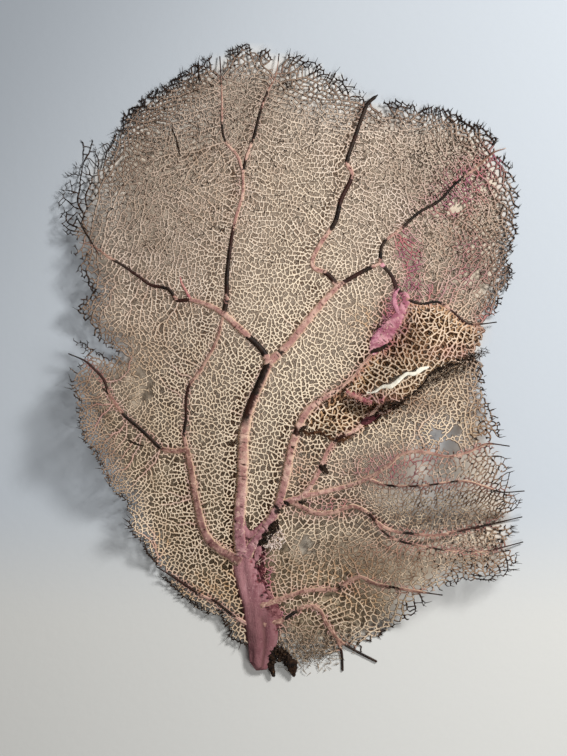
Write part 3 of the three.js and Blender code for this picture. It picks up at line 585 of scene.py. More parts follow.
def under_the_stem(p):
    """How far outside the stem each plan point is, in pixels; less than nothing inside it."""
    points, widths, _ = BRANCHES["trunk"]
    plan, half, _ = spline(points, widths, 3.0)
    away = np.linalg.norm(p[:, None] - plan[None], axis=2) - half / MM_PER_PIXEL
    return away.min(1)


def in_a_tear(p, rng):
    torn = np.zeros(len(p), bool)
    for centre, reach in TEARS:
        torn |= swell(p, centre, reach) > math.exp(-1) * rng.uniform(0.8, 1.3, len(p))
    return torn | inside(p, SLIT)


def flow_through(net, kept, roots):
    """Shortest ways from each end of a strand to a branch: how much of the net hangs on each end,
    and the end that it hangs from."""
    count = len(net.ends)
    cost = np.full(count, np.inf)
    parent = np.full(count, -1)
    heap = [(0.0, int(t)) for t in roots]
    cost[roots] = 0
    heapq.heapify(heap)
    order = []
    done = np.zeros(count, bool)
    while heap:
        so_far, t = heapq.heappop(heap)
        if done[t]:
            continue
        done[t] = True
        order.append(t)
        for k in range(3):
            other = net.across[t, k]
            if other < 0 or not kept[t, k] or done[other]:
                continue
            step = net.ends[other] - net.ends[t]
            outward = net.ends[t] - FOOT
            length = np.linalg.norm(step)
            turn = 1 - abs(step @ outward) / (length * np.linalg.norm(outward) + 1e-6)
            total = so_far + length * (1 + 0.8 * turn)
            if total < cost[other]:
                cost[other] = total
                parent[other] = t
                heapq.heappush(heap, (total, int(other)))
    flow = np.ones(count)
    for t in reversed(order):
        if parent[t] >= 0:
            flow[parent[t]] += flow[t]
    return done, parent, flow


def strands_of(net, borders, thickness, rng):
    """Which strands there are, how much hangs on each, how wide they are and the lobe of each end."""
    ends, other = net.ends, np.maximum(net.across, 0)
    me = np.arange(len(ends))[:, None]
    home = membership(ends, borders)
    rim = rim_distance(ends)
    lace = np.minimum(1, total_of(ends, LACE))
    tucked_in, near, touching, stub_share = 1.5, 2, 1, 0.75
    alive = (home >= 0) & ~in_a_tear(ends, rng) & (under_the_stem(ends) > -tucked_in)
    nearest = nearest_of(ends, BRANCHES, 0.6)
    loss = 0.08 + 0.06 * lace + 0.06 * smooth(9, 3, rim)
    roll = rng.uniform(0, 1, net.across.shape)
    back = (net.across[other] == me[..., None]).argmax(2)
    roll = np.where(other <= me, np.take_along_axis(roll[other], back[..., None], 2)[..., 0], roll)
    kept = (net.across >= 0) & alive[:, None] & alive[other]
    at_vein = nearest < near
    kept &= (roll > np.maximum(loss[:, None], loss[other])) | at_vein[:, None] | at_vein[other]
    reached, parent, flow = flow_through(net, kept, np.nonzero(alive & (nearest < touching))[0])
    net.straighten(parent, flow)
    kept &= reached[:, None] & reached[other]
    stub = (net.across >= 0) & reached[:, None] & ~kept & (rng.uniform(0, 1, kept.shape) < stub_share)
    width = thickness * strand_widths(net, parent, flow, rim, lace, rng)
    return SimpleNamespace(home=home, kept=kept, stub=stub, flow=flow, rim=rim, lace=lace, nearest=nearest,
                           width=width)


def strand_widths(net, parent, flow, rim, lace, rng):
    """Full widths in pixels for each end and edge."""
    x, y = net.ends.T
    other = np.maximum(net.across, 0)
    is_tree = (parent[other] == np.arange(len(x))[:, None]) | (parent[:, None] == other)
    carried = np.minimum(flow[:, None], flow[other])
    radius = np.linalg.norm(net.ends - FOOT, axis=1)
    thin_left = smooth(200, 110, x) * smooth(310, 360, y)
    usual, off_the_flow, thinnest, thickest = 2.2, 0.86, 0.75, 4.2
    base = usual - 0.3 * smooth(200, 480, radius) - 0.6 * thin_left
    base += 0.6 * np.minimum(1, total_of(net.ends, HOLLOWS))
    base -= swell(net.ends, (312, 642), (36, 18), 0.6) + 0.65 * pulled_lengthways(net.ends)
    base -= (0.4 * smooth(12, 3, rim) + 0.9 * lace) * (1 - 0.5 * smooth(160, 110, y))
    width = base[:, None] * np.where(is_tree, 1.0, off_the_flow)
    width += np.where(is_tree, 0.16 * np.maximum(0, carried - 3) ** 0.42, 0)
    seed = rng.normal(0, 0.1, len(x))
    return np.clip(width * (1 + (seed[:, None] + seed[other]) / 1.4), thinnest, thickest)


BRISTLES = []  # where a strand breaks off at the rim: its end, its way and the lie of its sheet


class Sheet:
    """Vertices, faces and painted values of one piece, gathered in arrays."""

    def __init__(self):
        self.points, self.faces, self.values = [], [], []
        self.count = 0

    def add(self, points, values):
        self.points.append(points)
        self.values.append(values)
        self.count += len(points)
        return np.arange(self.count - len(points), self.count)

    def face(self, *columns):
        self.faces.append(np.stack(columns, 1))


def in_the_box(points):
    """Points kept off the surface underneath and inside the solid model's box."""
    margin = 1e-5
    return np.clip(points, np.array(LOW) + margin, np.array(HIGH) - margin)


def mesh_from(name, points, faces, painted):
    """A smooth mesh from arrays. faces is a list of arrays, each of triangles or of quads."""
    mesh = bpy.data.meshes.new(name)
    mesh.vertices.add(len(points))
    mesh.vertices.foreach_set("co", points.astype(np.float32).reshape(-1))
    if faces:
        corners = np.concatenate([f.reshape(-1) for f in faces])
        sizes = np.concatenate([np.full(len(f), f.shape[1]) for f in faces])
        mesh.loops.add(len(corners))
        mesh.loops.foreach_set("vertex_index", corners.astype(np.int32))
        mesh.polygons.add(len(sizes))
        mesh.polygons.foreach_set("loop_start", (np.cumsum(sizes) - sizes).astype(np.int32))
        mesh.polygons.foreach_set("use_smooth", np.ones(len(sizes), bool))
    mesh.update(calc_edges=True)
    for key, values in painted.items():
        layer = mesh.attributes.new(key, "FLOAT", "POINT")
        layer.data.foreach_set("value", values.astype(np.float32))
    return new_object(name, mesh)


def new_object(name, data):
    made = bpy.data.objects.new(name, data)
    bpy.context.scene.collection.objects.link(made)
    return made


def finished(piece, material, node=None):
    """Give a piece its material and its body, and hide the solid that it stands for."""
    piece.data.materials.append(material)
    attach(piece, "root")
    if node:
        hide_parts(node)


def corner_offsets(net, width):
    """Where the hole of each cell has its corner, seen from each end: clear of both strands."""
    step = unit(net.ends[np.maximum(net.across, 0)] - net.ends[:, None])
    before = np.roll(step, 1, axis=1)
    w_after, w_before = width / 2, np.roll(width, 1, axis=1) / 2
    n_after = np.stack([step[..., 1], -step[..., 0]], -1)
    n_before = np.stack([-before[..., 1], before[..., 0]], -1)
    to_cell = net.cells[net.corners] - net.ends[:, None]
    for normal in (n_after, n_before):
        normal[(normal * to_cell).sum(-1) < 0] *= -1
    determinant, least = np.cross(n_after, n_before), 0.25
    nearly_in_line = np.abs(determinant) < least
    safe = np.where(nearly_in_line, least * np.sign(determinant + 1e-9), determinant)
    x = (w_after * n_before[..., 1] - w_before * n_after[..., 1]) / safe
    y = (w_before * n_after[..., 0] - w_after * n_before[..., 0]) / safe
    plain = unit(to_cell) * (w_after + w_before)[..., None] * 0.6
    offset = np.where(nearly_in_line[..., None], plain, np.stack([x, y], -1))
    room = 0.62 * np.linalg.norm(to_cell, axis=2)
    return offset * np.minimum(1, room / (np.linalg.norm(offset, axis=2) + 1e-9))[..., None]


def net_piece(name, net, strands, lobe, rise, rng):
    """The mesh of one lobe's strands. Each has a crest on top, one underneath and an edge on each side."""
    mine, width = strands.home == lobe, strands.width
    me = np.broadcast_to(np.arange(len(mine))[:, None], net.across.shape)
    other = np.maximum(net.across, 0)
    use = strands.kept & mine[np.minimum(me, other)]
    used = use.any(1)
    ends = np.nonzero(used)[0]
    index = np.full(len(mine), -1)
    index[ends] = np.arange(len(ends))
    crest, waist_crest = 0.86, 0.92  # how high a strand stands over its half-width
    bend, waist_share, stub_reach, rim_width, least_lace = 0.055, (0.72, 0.9), (0.25, 0.95), 7, 0.45
    ridge = np.maximum(0.5, width.max(1)[ends]) * 0.5 * MM_PER_PIXEL * crest
    depth = 1.0 + 0.5 * smooth(250, 400, net.ends[:, 1])
    on_top = np.stack([strands.rim, strands.lace, strands.nearest, strands.flow, np.zeros(len(mine))], 1)
    on_side = on_top + [0, 0, 0, 0, 1]
    offsets = corner_offsets(net, width)
    sheet = Sheet()
    top = sheet.add(in_space(net.ends[ends], rise, ridge), on_top[ends])
    low = sheet.add(in_space(net.ends[ends], rise, -depth[ends] * ridge), on_side[ends])
    corner = np.stack([sheet.add(in_space(net.ends[ends] + offsets[ends, k], rise), on_side[ends])
                       for k in range(3)], 1)

    first, edge = np.nonzero(use & (me < other))
    second = net.across[first, edge]
    back = (net.across[second] == first[:, None]).argmax(1)
    i, j = index[first], index[second]
    step = net.ends[second] - net.ends[first]
    length = np.linalg.norm(step, axis=1)[:, None]
    side = np.stack([step[:, 1], -step[:, 0]], 1) / (length + 1e-9)
    middle = (net.ends[first] + net.ends[second]) / 2
    middle = middle + side * rng.normal(0, bend, (len(first), 1)) * length
    waist = width[first, edge][:, None] * rng.uniform(*waist_share, (len(first), 1)) / 2
    side[((net.cells[net.corners[first, edge]] - middle) * side).sum(1) < 0] *= -1
    shade, shade_side = ((paint[first] + paint[second]) / 2 for paint in (on_top, on_side))
    height = waist[:, 0] * MM_PER_PIXEL * waist_crest
    mid_top = sheet.add(in_space(middle, rise, height), shade)
    mid_low = sheet.add(in_space(middle, rise, -depth[first] * height), shade_side)
    mid_a, mid_b = (sheet.add(in_space(middle + way * waist, rise), shade_side) for way in (side, -side))
    a1, b1 = corner[i, edge], corner[i, (edge + 1) % 3]
    a2, b2 = corner[j, (back + 1) % 3], corner[j, back]
    for up, mid_up, turn in ((top, mid_top, 1), (low, mid_low, -1)):
        for quad in ((up[i], a1, mid_a, mid_up), (mid_up, mid_a, a2, up[j]),
                     (up[i], mid_up, mid_b, b1), (mid_up, up[j], b2, mid_b)):
            sheet.face(*quad[::turn])

    lone, gap = np.nonzero(~use & used[:, None])
    n = index[lone]
    a, b = corner[n, gap], corner[n, (gap + 1) % 3]
    broken = strands.stub[lone, gap] & mine[lone]
    sheet.face(top[n][~broken], a[~broken], b[~broken])
    sheet.face(low[n][~broken], b[~broken], a[~broken])
    out, gap, n, a, b = (values[broken] for values in (lone, gap, n, a, b))
    reach = rng.uniform(*stub_reach, (len(out), 1))
    step = (net.ends[np.maximum(net.across[out, gap], 0)] - net.ends[out]) * reach
    tip = sheet.add(in_space(net.ends[out] + step, rise), on_side[out] * [0.3, 1, 1, 1, 0.5])
    for face in ((top[n], a, tip), (top[n], tip, b), (low[n], tip, a), (low[n], b, tip)):
        sheet.face(*face)
    at_rim = (strands.rim[out] < rim_width) | (strands.lace[out] > least_lace)
    BRISTLES.append((net.ends[out][at_rim], step[at_rim], rise))
    points = in_the_box(np.concatenate(sheet.points))
    return mesh_from(name, points, sheet.faces, net_paint(plan_of(points), np.concatenate(sheet.values)))


def net_paint(plan, values):
    """What colours the net, each from 0 to 1, such as bare horn, pink wash, cream, the crown's taupe and
    painted shade.
    """
    rim, lace, nearest, flow, side = values.T
    x, y = plan.T
    speckle = noise_at(plan, 9, 5) * 0.5 + noise_at(plan, 3.4, 6) * 0.5
    low_left = smooth(180, 110, x) * smooth(360, 390, y)
    depth = (rim + 6 * speckle) / (1 - 0.5 * low_left) / (1 + 0.9 * smooth(160, 100, y))
    right_rim = smooth(430, 480, x) * smooth(395, 430, y) * smooth(46, 8, rim)
    torn_bits = smooth(0.55, 0.8, noise_at(plan, 6, 13)) * smooth(395, 425, x) * smooth(425, 450, y)
    bare = 0.8 * smooth(9, 1, depth) + 1.2 * smooth(0.35, 0.85, lace + 0.3 * speckle)
    bare += 0.8 * smooth(0.6, 0.9, noise_at(plan, 5, 11)) * smooth(420, 200, y)
    bare += 0.8 * torn_bits + 0.9 * right_rim * smooth(0.1, 0.7, noise_at(plan, 9, 14))
    bare *= 1 - 0.75 * smooth(625, 640, y) * (x > 284) * (x < 350)
    blush = np.minimum(1, total_of(plan, BLUSH) * (1 + 0.5 * noise_at(plan, 16, 7)))
    blush = np.maximum(blush, smooth(5, 0, nearest + 2 * speckle) * (0.15 + 0.4 * smooth(250, 420, y)))
    blush = np.maximum(blush, 0.4 * smooth(14, 70, flow) * smooth(240, 420, y) * smooth(450, 390, x))
    reach = 36 + 34 * smooth(200, 120, x) * smooth(260, 180, y)
    dusk = 0.9 * smooth(reach, 6, rim + 12 * speckle) * smooth(560, 420, y - 2.2 * (x - 420).clip(0))
    pulled, threads = pulled_lengthways(plan), noise_at(plan, 11, 15)
    # dusk also takes in the listed places of painted shade and grey dust.
    dusk = np.maximum(dusk, pulled * (0.5 + 0.5 * threads) + 0.55 * right_rim) + total_of(plan, DUST_AND_SHADE)
    cream = np.minimum(1, total_of(plan, CREAM) + 0.12 * noise_at(plan, 30, 8))
    cream += 0.7 * pulled * smooth(0.1, -0.6, threads)
    crown = smooth(430, 230, y) + 0.15 * noise_at(plan, 40, 9)
    amber = (total_of(plan, AMBER) + right_rim) * (0.55 + 0.7 * noise_at(plan, 7, 16))
    # The hollows' value paints shade on the strands there.
    painted = dict(bare=bare, blush=blush, cream=cream, crown=crown, dusk=dusk, hollow_shade=total_of(plan, HOLLOWS),
                   amber=amber, side=side)
    return {key: np.clip(value, 0, 1) for key, value in painted.items()}


def build_nets(material):
    """Every lobe of netting. The fold is a sheet of its own, over the lobes that run under it."""
    rng = np.random.default_rng(4)
    fold, lining = border_of(FOLD_LOBE), Net(47, 0.9)
    layers = [
        (Net(21), lobe_borders(), 1.0, list(LOBES), sheet_rise),
        (Net(33, 1.16), [fold], 1.0, ["net_right_fold"], fold_rise),
        (lining, [fold], 1.4, ["netting_fold_lining"], lining_rise),
        (lining, [TUCKED_NET], 1.2, ["netting_tucked_under"], under_tuck),
    ]
    for net, borders, thickness, names, rise in layers:
        strands = strands_of(net, borders, thickness, rng)
        for lobe, name in enumerate(names):
            lie = tucked_rise if name in ("net_fold_pocket", "net_right_upper") else rise
            piece = net_piece(name.replace("net_", "netting_"), net, strands, lobe, lie, rng)
            # The lining and the tucked-under netting are painted darker as shade: a share of bare horn's dark
            # colour, with amber brown all over.
            if net is lining:
                for key, value in (("bare", 0.36), ("amber", 1.0)):
                    layer = piece.data.attributes[key].data
                    layer.foreach_set("value", np.full(len(layer), value, np.float32))
            finished(piece, material, None if net is lining else name)


# Branches.
def spline(points, widths, step):
    """A smooth curve through plan points: its points, its half-widths and its places in the row."""
    points = np.array(points, float)
    places = np.arange(len(points), dtype=float)
    if len(widths) != len(points):
        widths = np.linspace(widths[0], widths[1], len(points))
    padded = np.vstack([2 * points[0] - points[1], points, 2 * points[-1] - points[-2]])
    lengths = np.linalg.norm(np.diff(points, axis=0), axis=1)
    found, place = [], []
    for i, length in enumerate(lengths):
        t = np.arange(0, 1, step / length)
        a, b, c, d = padded[i:i + 4]
        found.append(0.5 * (2 * b + np.outer(t, c - a) + np.outer(t**2, 2 * a - 5 * b + 4 * c - d)
                            + np.outer(t**3, 3 * b - a - 3 * c + d)))
        place.append(i + t)
    place = np.concatenate(place + [places[-1:]])
    return np.concatenate(found + [points[-1:]]), np.interp(place, places, widths), place


def rough(u, v, seed, fine=1.0, around=5):
    """Random bumps from -1 to 1 along a branch (u, in millimetres) and round it (v, in turns)."""
    rng = np.random.default_rng(seed)
    total = 0
    for size, weight in ((1, 0.9), (2, 0.5)):
        x, y = u * fine * size + 0 * v, v * around * size + 0 * u
        grid = rng.uniform(-1, 1, (int(x.max()) + 2, around * size))
        i, j = np.floor(x).astype(int), np.floor(y).astype(int)
        fx, fy = smooth(0, 1, x - i), smooth(0, 1, y - j)
        columns = (j % (around * size), (j + 1) % (around * size))
        near = grid[i, columns[0]] * (1 - fy) + grid[i, columns[1]] * fy
        far = grid[i + 1, columns[0]] * (1 - fy) + grid[i + 1, columns[1]] * fy
        total = total + weight * (near * (1 - fx) + far * fx)
    return total


def tube(name, centres, half_across, half_high, ups, **painted):
    """A closed tube of oval rings with its painted values; half-widths are arrays of rings by sides."""
    rings, sides = half_across.shape
    along = unit(np.gradient(centres, axis=0))
    across = unit(np.cross(along, ups))
    out = np.cross(across, along)
    angle = 2 * np.pi * np.arange(sides) / sides
    ring = centres[:, None] + across[:, None] * (half_across * np.cos(angle))[..., None]
    ring = ring + out[:, None] * (half_high * np.sin(angle))[..., None]
    start_cap, end_cap = 0.6, 0.8  # how far each end bulges out, over its half-width
    ends = np.stack([centres[0] - along[0] * half_across[0].mean() * start_cap,
                     centres[-1] + along[-1] * half_across[-1].mean() * end_cap])
    points = in_the_box(np.concatenate([ring.reshape(-1, 3), ends]))
    here = np.arange(sides)
    after = (here + 1) % sides
    rows = np.arange(rings - 1)[:, None] * sides
    a, b = (rows + here).reshape(-1), (rows + after).reshape(-1)
    walls = np.stack([a, a + sides, b + sides, b], 1)
    first, last, base = rings * sides, rings * sides + 1, (rings - 1) * sides
    caps = np.concatenate([np.stack([np.full(sides, first), here, after], 1),
                           np.stack([np.full(sides, last), base + after, base + here], 1)])
    for key, values in painted.items():
        values = np.broadcast_to(values, half_across.shape)
        painted[key] = np.concatenate([values.reshape(-1), [values[0].mean(), values[-1].mean()]])
    return mesh_from(name, points, [walls, caps], painted)


def tube_on(name, plan, rise, height, across, flatness, **painted):
    """A tube along plan points, at a height over a sheet, with its half-widths in millimetres."""
    centres = in_space(plan, rise, height)
    normals = in_space(plan, rise, height + 1) - centres
    return tube(name, centres, across / 1000, across * flatness / 1000, normals, **painted)


def rings_of(length, sides):
    """Where a tube's vertices are: along it in millimetres and round it in turns."""
    return length[:, None], (np.arange(sides) / sides)[None]


def bare_share(place, stretches, ragged, last):
    """How bare each point is, from 0 crusted to 1 bare, with ragged ends to each stretch."""
    bare = np.zeros(ragged.shape)
    for start, stop in stretches:
        stop = stop + 9 if stop >= last else stop
        depth = np.minimum(place - start, stop - place)[:, None] + 0.22 * ragged
        bare = np.maximum(bare, smooth(-0.02, 0.06, depth))
    return bare


# How much browner some branches' crust is than the others'.
BROWNNESS = {"left_branch": 0.75, "left_outer_branch": 0.75, "foot_branch": 0.75, "twig_branch": 0.75,
             "left_link_branch": 0.5, "right_lower_branch": 0.5}
MAUVE_BRANCHES = ("centre_branch", "right_branch", "left_branch", "pocket_branch")


def branch_piece(name, seed, material):
    points, widths, stretches = BRANCHES[name]
    plan, half, place = spline(points, widths, 1.0)
    rise = tucked_rise if name == "pocket_branch" else sheet_rise
    length = np.concatenate([[0], np.cumsum(np.linalg.norm(np.diff(plan, axis=0), axis=1))]) * MM_PER_PIXEL
    u, v = rings_of(length, 18)
    ragged = rough(u, v, seed + 50, 0.8)
    bare = bare_share(place, stretches, ragged, len(points) - 1)
    if name == "centre_branch":
        left_side = np.cos(2 * np.pi * v - 2.4) + 0.3 * ragged
        bare = np.maximum(bare, smooth(5.2, 5.8, place)[:, None] * smooth(-0.1, 0.15, left_side))
    pits = smooth(0.62, 0.85, rough(u, v, seed + 80, 1.2)) * (1 - bare)
    high_up = smooth(340, 220, plan[:, 1])
    ends_thick, at_crown = name == "top_right_branch", plan[-1, 1] < 80
    root_flare, flare_reach, thinning = 0.35, 5, 0.05 if ends_thick else 0.32
    radius = half * (1 + root_flare * np.exp(-length / flare_reach)) * (1 - thinning * high_up)
    rim = rim_distance(plan)
    ends_at_rim, cut_short = rim[-1] < 16, 7
    if ends_at_rim:
        if at_crown:
            keep = length < length[-1] - cut_short
            plan, place, length, radius, rim, high_up, bare, ragged, pits = (
                values[keep] for values in (plan, place, length, radius, rim, high_up, bare, ragged, pits))
            u = length[:, None]
        fade = 64 if at_crown else 5 if ends_thick else 26
        radius = radius * (0.3 + 0.7 * smooth(0, fade, (length[-1] - length) / MM_PER_PIXEL))
    dusk = smooth(60, 14, rim) * smooth(22, 60, under_the_stem(plan))
    if name == "right_branch":
        radius = radius * (1 - 0.5 * smooth(9.4, 10.6, place))
        dusk = np.maximum(dusk, 0.45 * smooth(9.4, 10.6, place))
    pulled = pulled_lengthways(plan)
    dusk = np.maximum(dusk, np.maximum(0.7 * pulled, BROWNNESS.get(name, 0)))
    radius = (radius * (1 - 0.2 * pulled))[:, None]
    crusted = radius * (1.06 + 0.13 * rough(u, v, seed, 0.5) + 0.07 * rough(u, v, seed + 9, 2.2))
    horn = np.maximum(0.5, radius * (0.8 + 0.24 * high_up[:, None]))
    horn = horn * (1 + 0.02 * rough(u, v, seed + 3, 0.4))
    across = crusted + (horn - crusted) * bare - 0.18 * radius * pits
    top = np.exp(-((v - 0.25) / 0.07) ** 2)
    flatness = 0.26 if name == "blade_branch" else 0.8 - 0.16 * top * (1 - bare)
    mauve = smooth(455, 540, plan[:, 1])[:, None] * smooth(340, 290, plan[:, 0])[:, None]
    mauve = mauve * (1.0 if name in MAUVE_BRANCHES else 0.2)
    mauve = np.maximum(mauve, 2.0 * (name == "blade_branch"))
    side = np.abs(np.cos(2 * np.pi * v)) + 0.12 * ragged
    piece = tube_on(name.replace("_branch", "_vein"), plan, rise, 0.5, across, flatness, bare=bare, pits=pits,
                    mauve=mauve, side=side, dusk=dusk[:, None], hue=rough(u * 0.25, v, seed + 7))
    finished(piece, material, name)


def trunk_piece(material):
    """The wide flattened stem, with long grooves, a torn edge on its right and a torn patch at its top."""
    points, widths, _ = BRANCHES["trunk"]
    plan, half, _ = spline([(258, 667)] + points + [(242, 536), (241, 512)], [6.5] + widths + [4.6, 2.4], 0.8)
    u, v = rings_of(np.arange(len(plan)) * 0.8 * MM_PER_PIXEL, 72)
    turn, y, half = 2 * np.pi * v, plan[:, 1:], half[:, None]
    ridges = 0.03 * np.sin(turn * 7 + 0.06 * u) + 0.05 * np.sin(turn * 4 - 0.045 * u + 1)
    ridges = ridges + 0.03 * rough(u, v, 301, 0.12) + 0.012 * rough(u, v, 302, 0.5, 16)
    high_up = smooth(640, 600, y)
    right = smooth(0.62 - 0.4 * high_up, 1.05 - 0.4 * high_up, np.cos(turn) + 0.16 * rough(u, v, 303))
    torn = right * smooth(-0.4, 0.6, rough(u, v, 304, 0.4, 26)) * smooth(14, 30, u)
    groove = np.exp(-((np.angle(np.exp(1j * (turn - 1.15 - 0.3 * np.sin(u / 26)))) / 0.16) ** 2))
    groove = groove * smooth(-0.2, 0.5, np.sin(u / 17 + 0.6) + 0.3 * rough(u, v, 307, 0.2))
    across = half * (1 + ridges) - 0.5 * torn - 0.4 * groove
    flatness = 0.478 + 0.27 * smooth(556, 530, y)
    high = half * flatness * (1 + 1.6 * ridges) - 0.9 * torn - 0.8 * groove
    centres = in_space(plan, trunk_rise)
    normals = in_space(plan, trunk_rise, 1.0) - centres
    least_height = 0.00548
    centres[:, 2] = np.maximum(centres[:, 2], least_height)
    bare = np.clip(smooth(0.75, 0.95, torn * (1 + 0.4 * rough(u, v, 305, 1.6))), 0, 1)
    piece = tube("stem", centres, across / 1000, high / 1000, normals, bare=bare, pits=torn, groove=groove,
                 shaded=smooth(585, 618, y))
    finished(piece, material, "trunk")


def holdfast_piece(material):
    """Broken prongs of bare horn."""
    prongs = [
        ([(266, 646), (272, 656), (270, 664), (274, 677)], [5.6, 5.0, 3.8, 1.6]),
        ([(268, 650), (279, 654), (289, 662), (292, 669), (294, 677)], [3.2, 3.6, 4.6, 4.6, 1.5]),
        ([(265, 648), (273, 651), (281, 654), (288, 659), (291, 665)], [2.4, 3.0, 3.8, 3.2, 1.6]),
    ]
    for seed, (points, widths) in enumerate(prongs):
        plan, half, _ = spline(points, widths, 0.7)
        u, v = rings_of(np.arange(len(plan)) * 0.7 * MM_PER_PIXEL, 22)
        lumps = 0.3 * rough(u, v, 400 + seed, 0.35) + 0.16 * rough(u, v, 410 + seed, 1.1)
        across = half[:, None] * (0.9 + lumps)
        piece = tube_on(f"prong_{seed + 1}", plan, level(4.6), 0, across, 0.8, bare=1.0,
                        hue=rough(u * 0.4, v, 420 + seed))
        finished(piece, material, "holdfast")


# Node trees.
def either_way(operation):
    """An operator and its reflected form."""
    return (lambda a, b: a.math(operation, a, b)), (lambda a, b: a.math(operation, b, a))


class Term:
    """A socket's value in an expression."""

    def __init__(self, nodes, socket):
        self.nodes, self.socket = nodes, socket

    def math(self, operation, *terms):
        return self.nodes.node("ShaderNodeMath", {"operation": operation}, dict(enumerate(terms)))

    __add__, __radd__ = either_way("ADD")
    __sub__, __rsub__ = either_way("SUBTRACT")
    __mul__, __rmul__ = either_way("MULTIPLY")
    __truediv__, __rtruediv__ = either_way("DIVIDE")


class Graph:
    """A tree of nodes."""

    tree = None

    def node(self, kind, settings, inputs, output=0):
        made = self.tree.nodes.new(kind)
        for key, value in settings.items():
            setattr(made, key, value)
        for key, value in inputs.items():
            if isinstance(value, Term):
                self.tree.links.new(value.socket, made.inputs[key])
            elif value is not None:
                made.inputs[key].default_value = value
        return Term(self, made.outputs[output] if made.outputs else None)


# Small pieces scattered by Geometry Nodes.
class Scatter(Graph):
    """A tree that sets one small shape on every point, drawn out along the point's own way."""

    def __init__(self, name, size_name, size):
        self.tree = bpy.data.node_groups.new(name, "GeometryNodeTree")
        new_socket = self.tree.interface.new_socket
        new_socket("Geometry", in_out="INPUT", socket_type="NodeSocketGeometry")
        self.inputs = {}
        for key, kind, value in ((size_name, "Float", size), ("Crook", "Float", 0.0008), ("Seed", "Int", 3),
                                 ("Material", "Material", None)):
            self.inputs[key] = (new_socket(key, in_out="INPUT", socket_type="NodeSocket" + kind), value)
        new_socket("Geometry", in_out="OUTPUT", socket_type="NodeSocketGeometry")
        self.given = self.tree.nodes.new("NodeGroupInput")

    def input(self, name):
        return Term(self, self.given.outputs[name])

    def named(self, name, kind):
        return self.node("GeometryNodeInputNamedAttribute", {"data_type": kind}, {"Name": name})

    def finish(self, shape, scale):
        turn = self.node("FunctionNodeAlignRotationToVector", {"axis": "Z"}, {
            "Vector": self.named("way", "FLOAT_VECTOR")})
        set_out = self.node("GeometryNodeInstanceOnPoints", {}, {
            "Points": self.input("Geometry"), "Instance": shape, "Rotation": turn, "Scale": scale})
        plain = self.node("GeometryNodeRealizeInstances", {}, {"Geometry": set_out})
        place = self.node("GeometryNodeInputPosition", {}, {})
        bend = self.node("ShaderNodeTexNoise", {"noise_dimensions": "4D"}, {
            "Vector": place, "W": self.input("Seed"), "Scale": 420.0, "Detail": 1.0}, "Color")
        centred = self.node("ShaderNodeVectorMath", {"operation": "SUBTRACT"}, {0: bend, 1: (0.5, 0.5, 0.5)})
        offset = self.node("ShaderNodeVectorMath", {"operation": "SCALE"}, {
            0: centred, "Scale": self.input("Crook")})
        bent = self.node("GeometryNodeSetPosition", {}, {"Geometry": plain, "Offset": offset})
        done = self.node("GeometryNodeSetMaterial", {}, {
            "Geometry": bent, "Material": self.input("Material")})
        self.node("NodeGroupOutput", {}, {"Geometry": done})
        return self


def bristle_tree():
    tree = Scatter("bristles", "Thickness", 0.00034)
    thick = tree.input("Thickness")
    shape = tree.node("GeometryNodeMeshCone", {}, {
        "Vertices": 5, "Side Segments": 3, "Radius Top": thick * 0.35, "Radius Bottom": thick, "Depth": 1.0})
    scale = tree.node("ShaderNodeCombineXYZ", {}, {"X": 1.0, "Y": 1.0, "Z": tree.named("reach", "FLOAT")})
    return tree.finish(shape, scale)


def crumb_tree():
    tree = Scatter("crumbs", "Coarseness", 1.0)
    shape = tree.node("GeometryNodeMeshIcoSphere", {}, {"Radius": 1.0, "Subdivisions": 1})
    size = tree.named("reach", "FLOAT") * tree.input("Coarseness")
    scale = tree.node("ShaderNodeCombineXYZ", {}, {"X": size, "Y": size * 0.7, "Z": size * 1.5})
    return tree.finish(shape, scale)


def scattered(name, tree, places, ways, reaches, material, crook=0.0008, size=None):
    """A plain mesh of one small shape on every place."""
    guide = mesh_from(name + "_guide", places, [], {"reach": reaches})
    way = guide.data.attributes.new("way", "FLOAT_VECTOR", "POINT")
    way.data.foreach_set("vector", ways.astype(np.float32).reshape(-1))
    modifier = guide.modifiers.new("scatter", "NODES")
    modifier.node_group = tree.tree
    values = {"Material": material, "Crook": crook}
    if size is not None:
        values[next(iter(tree.inputs))] = size
    for key, (socket, usual) in tree.inputs.items():
        modifier[socket.identifier] = values.get(key, usual)
    evaluated = guide.evaluated_get(bpy.context.evaluated_depsgraph_get())
    mesh = bpy.data.meshes.new_from_object(evaluated)
    guide.modifiers.remove(modifier)
    bpy.data.objects.remove(guide)
    mesh.name = name
    points = np.zeros(3 * len(mesh.vertices), np.float32)
    mesh.vertices.foreach_get("co", points)
    mesh.vertices.foreach_set("co", in_the_box(points.reshape(-1, 3)).astype(np.float32).reshape(-1))
    mesh.materials.clear()
    mesh.shade_smooth()
    finished(new_object(name, mesh), material)


def rim_bristles(tree, material):
    """Bare broken twigs that stand out from the rim."""
    rng = np.random.default_rng(61)
    starts, ways = [], []
    longest = 7
    for ends, steps, rise in BRISTLES:
        if not len(ends):
            continue
        outward, steps = unit(ends - FOOT), unit(steps)
        facing = (steps * outward).sum(1) > 0.1
        ends, steps, outward = ends[facing], steps[facing], outward[facing]
        to_right = smooth(470, 500, ends[:, 0]) * smooth(380, 420, ends[:, 1])
        way = steps + 0.9 * outward + rng.normal(0, 0.25, steps.shape)
        way[:, 0] += 1.5 * to_right
        reach = rng.gamma(1.3, 1.9, len(ends)) + 0.8 + 4 * to_right * rng.uniform(0, 1, len(ends))
        tips = ends + unit(way) * np.minimum(reach, longest)[:, None]
        inner = within(tips, 56, 523, 43, 677)
        start, stop = in_space(ends[inner], rise), in_space(tips[inner], rise)
        stop[:, 2] += rng.uniform(-0.0004, 0.0022, len(stop))
        stop[:, 2] = np.maximum(stop[:, 2], 0.0006)
        starts.append(start)
        ways.append(stop - start)
    ways = np.concatenate(ways)
    scattered("rim_bristles", tree, np.concatenate(starts), ways, np.linalg.norm(ways, axis=1), material)


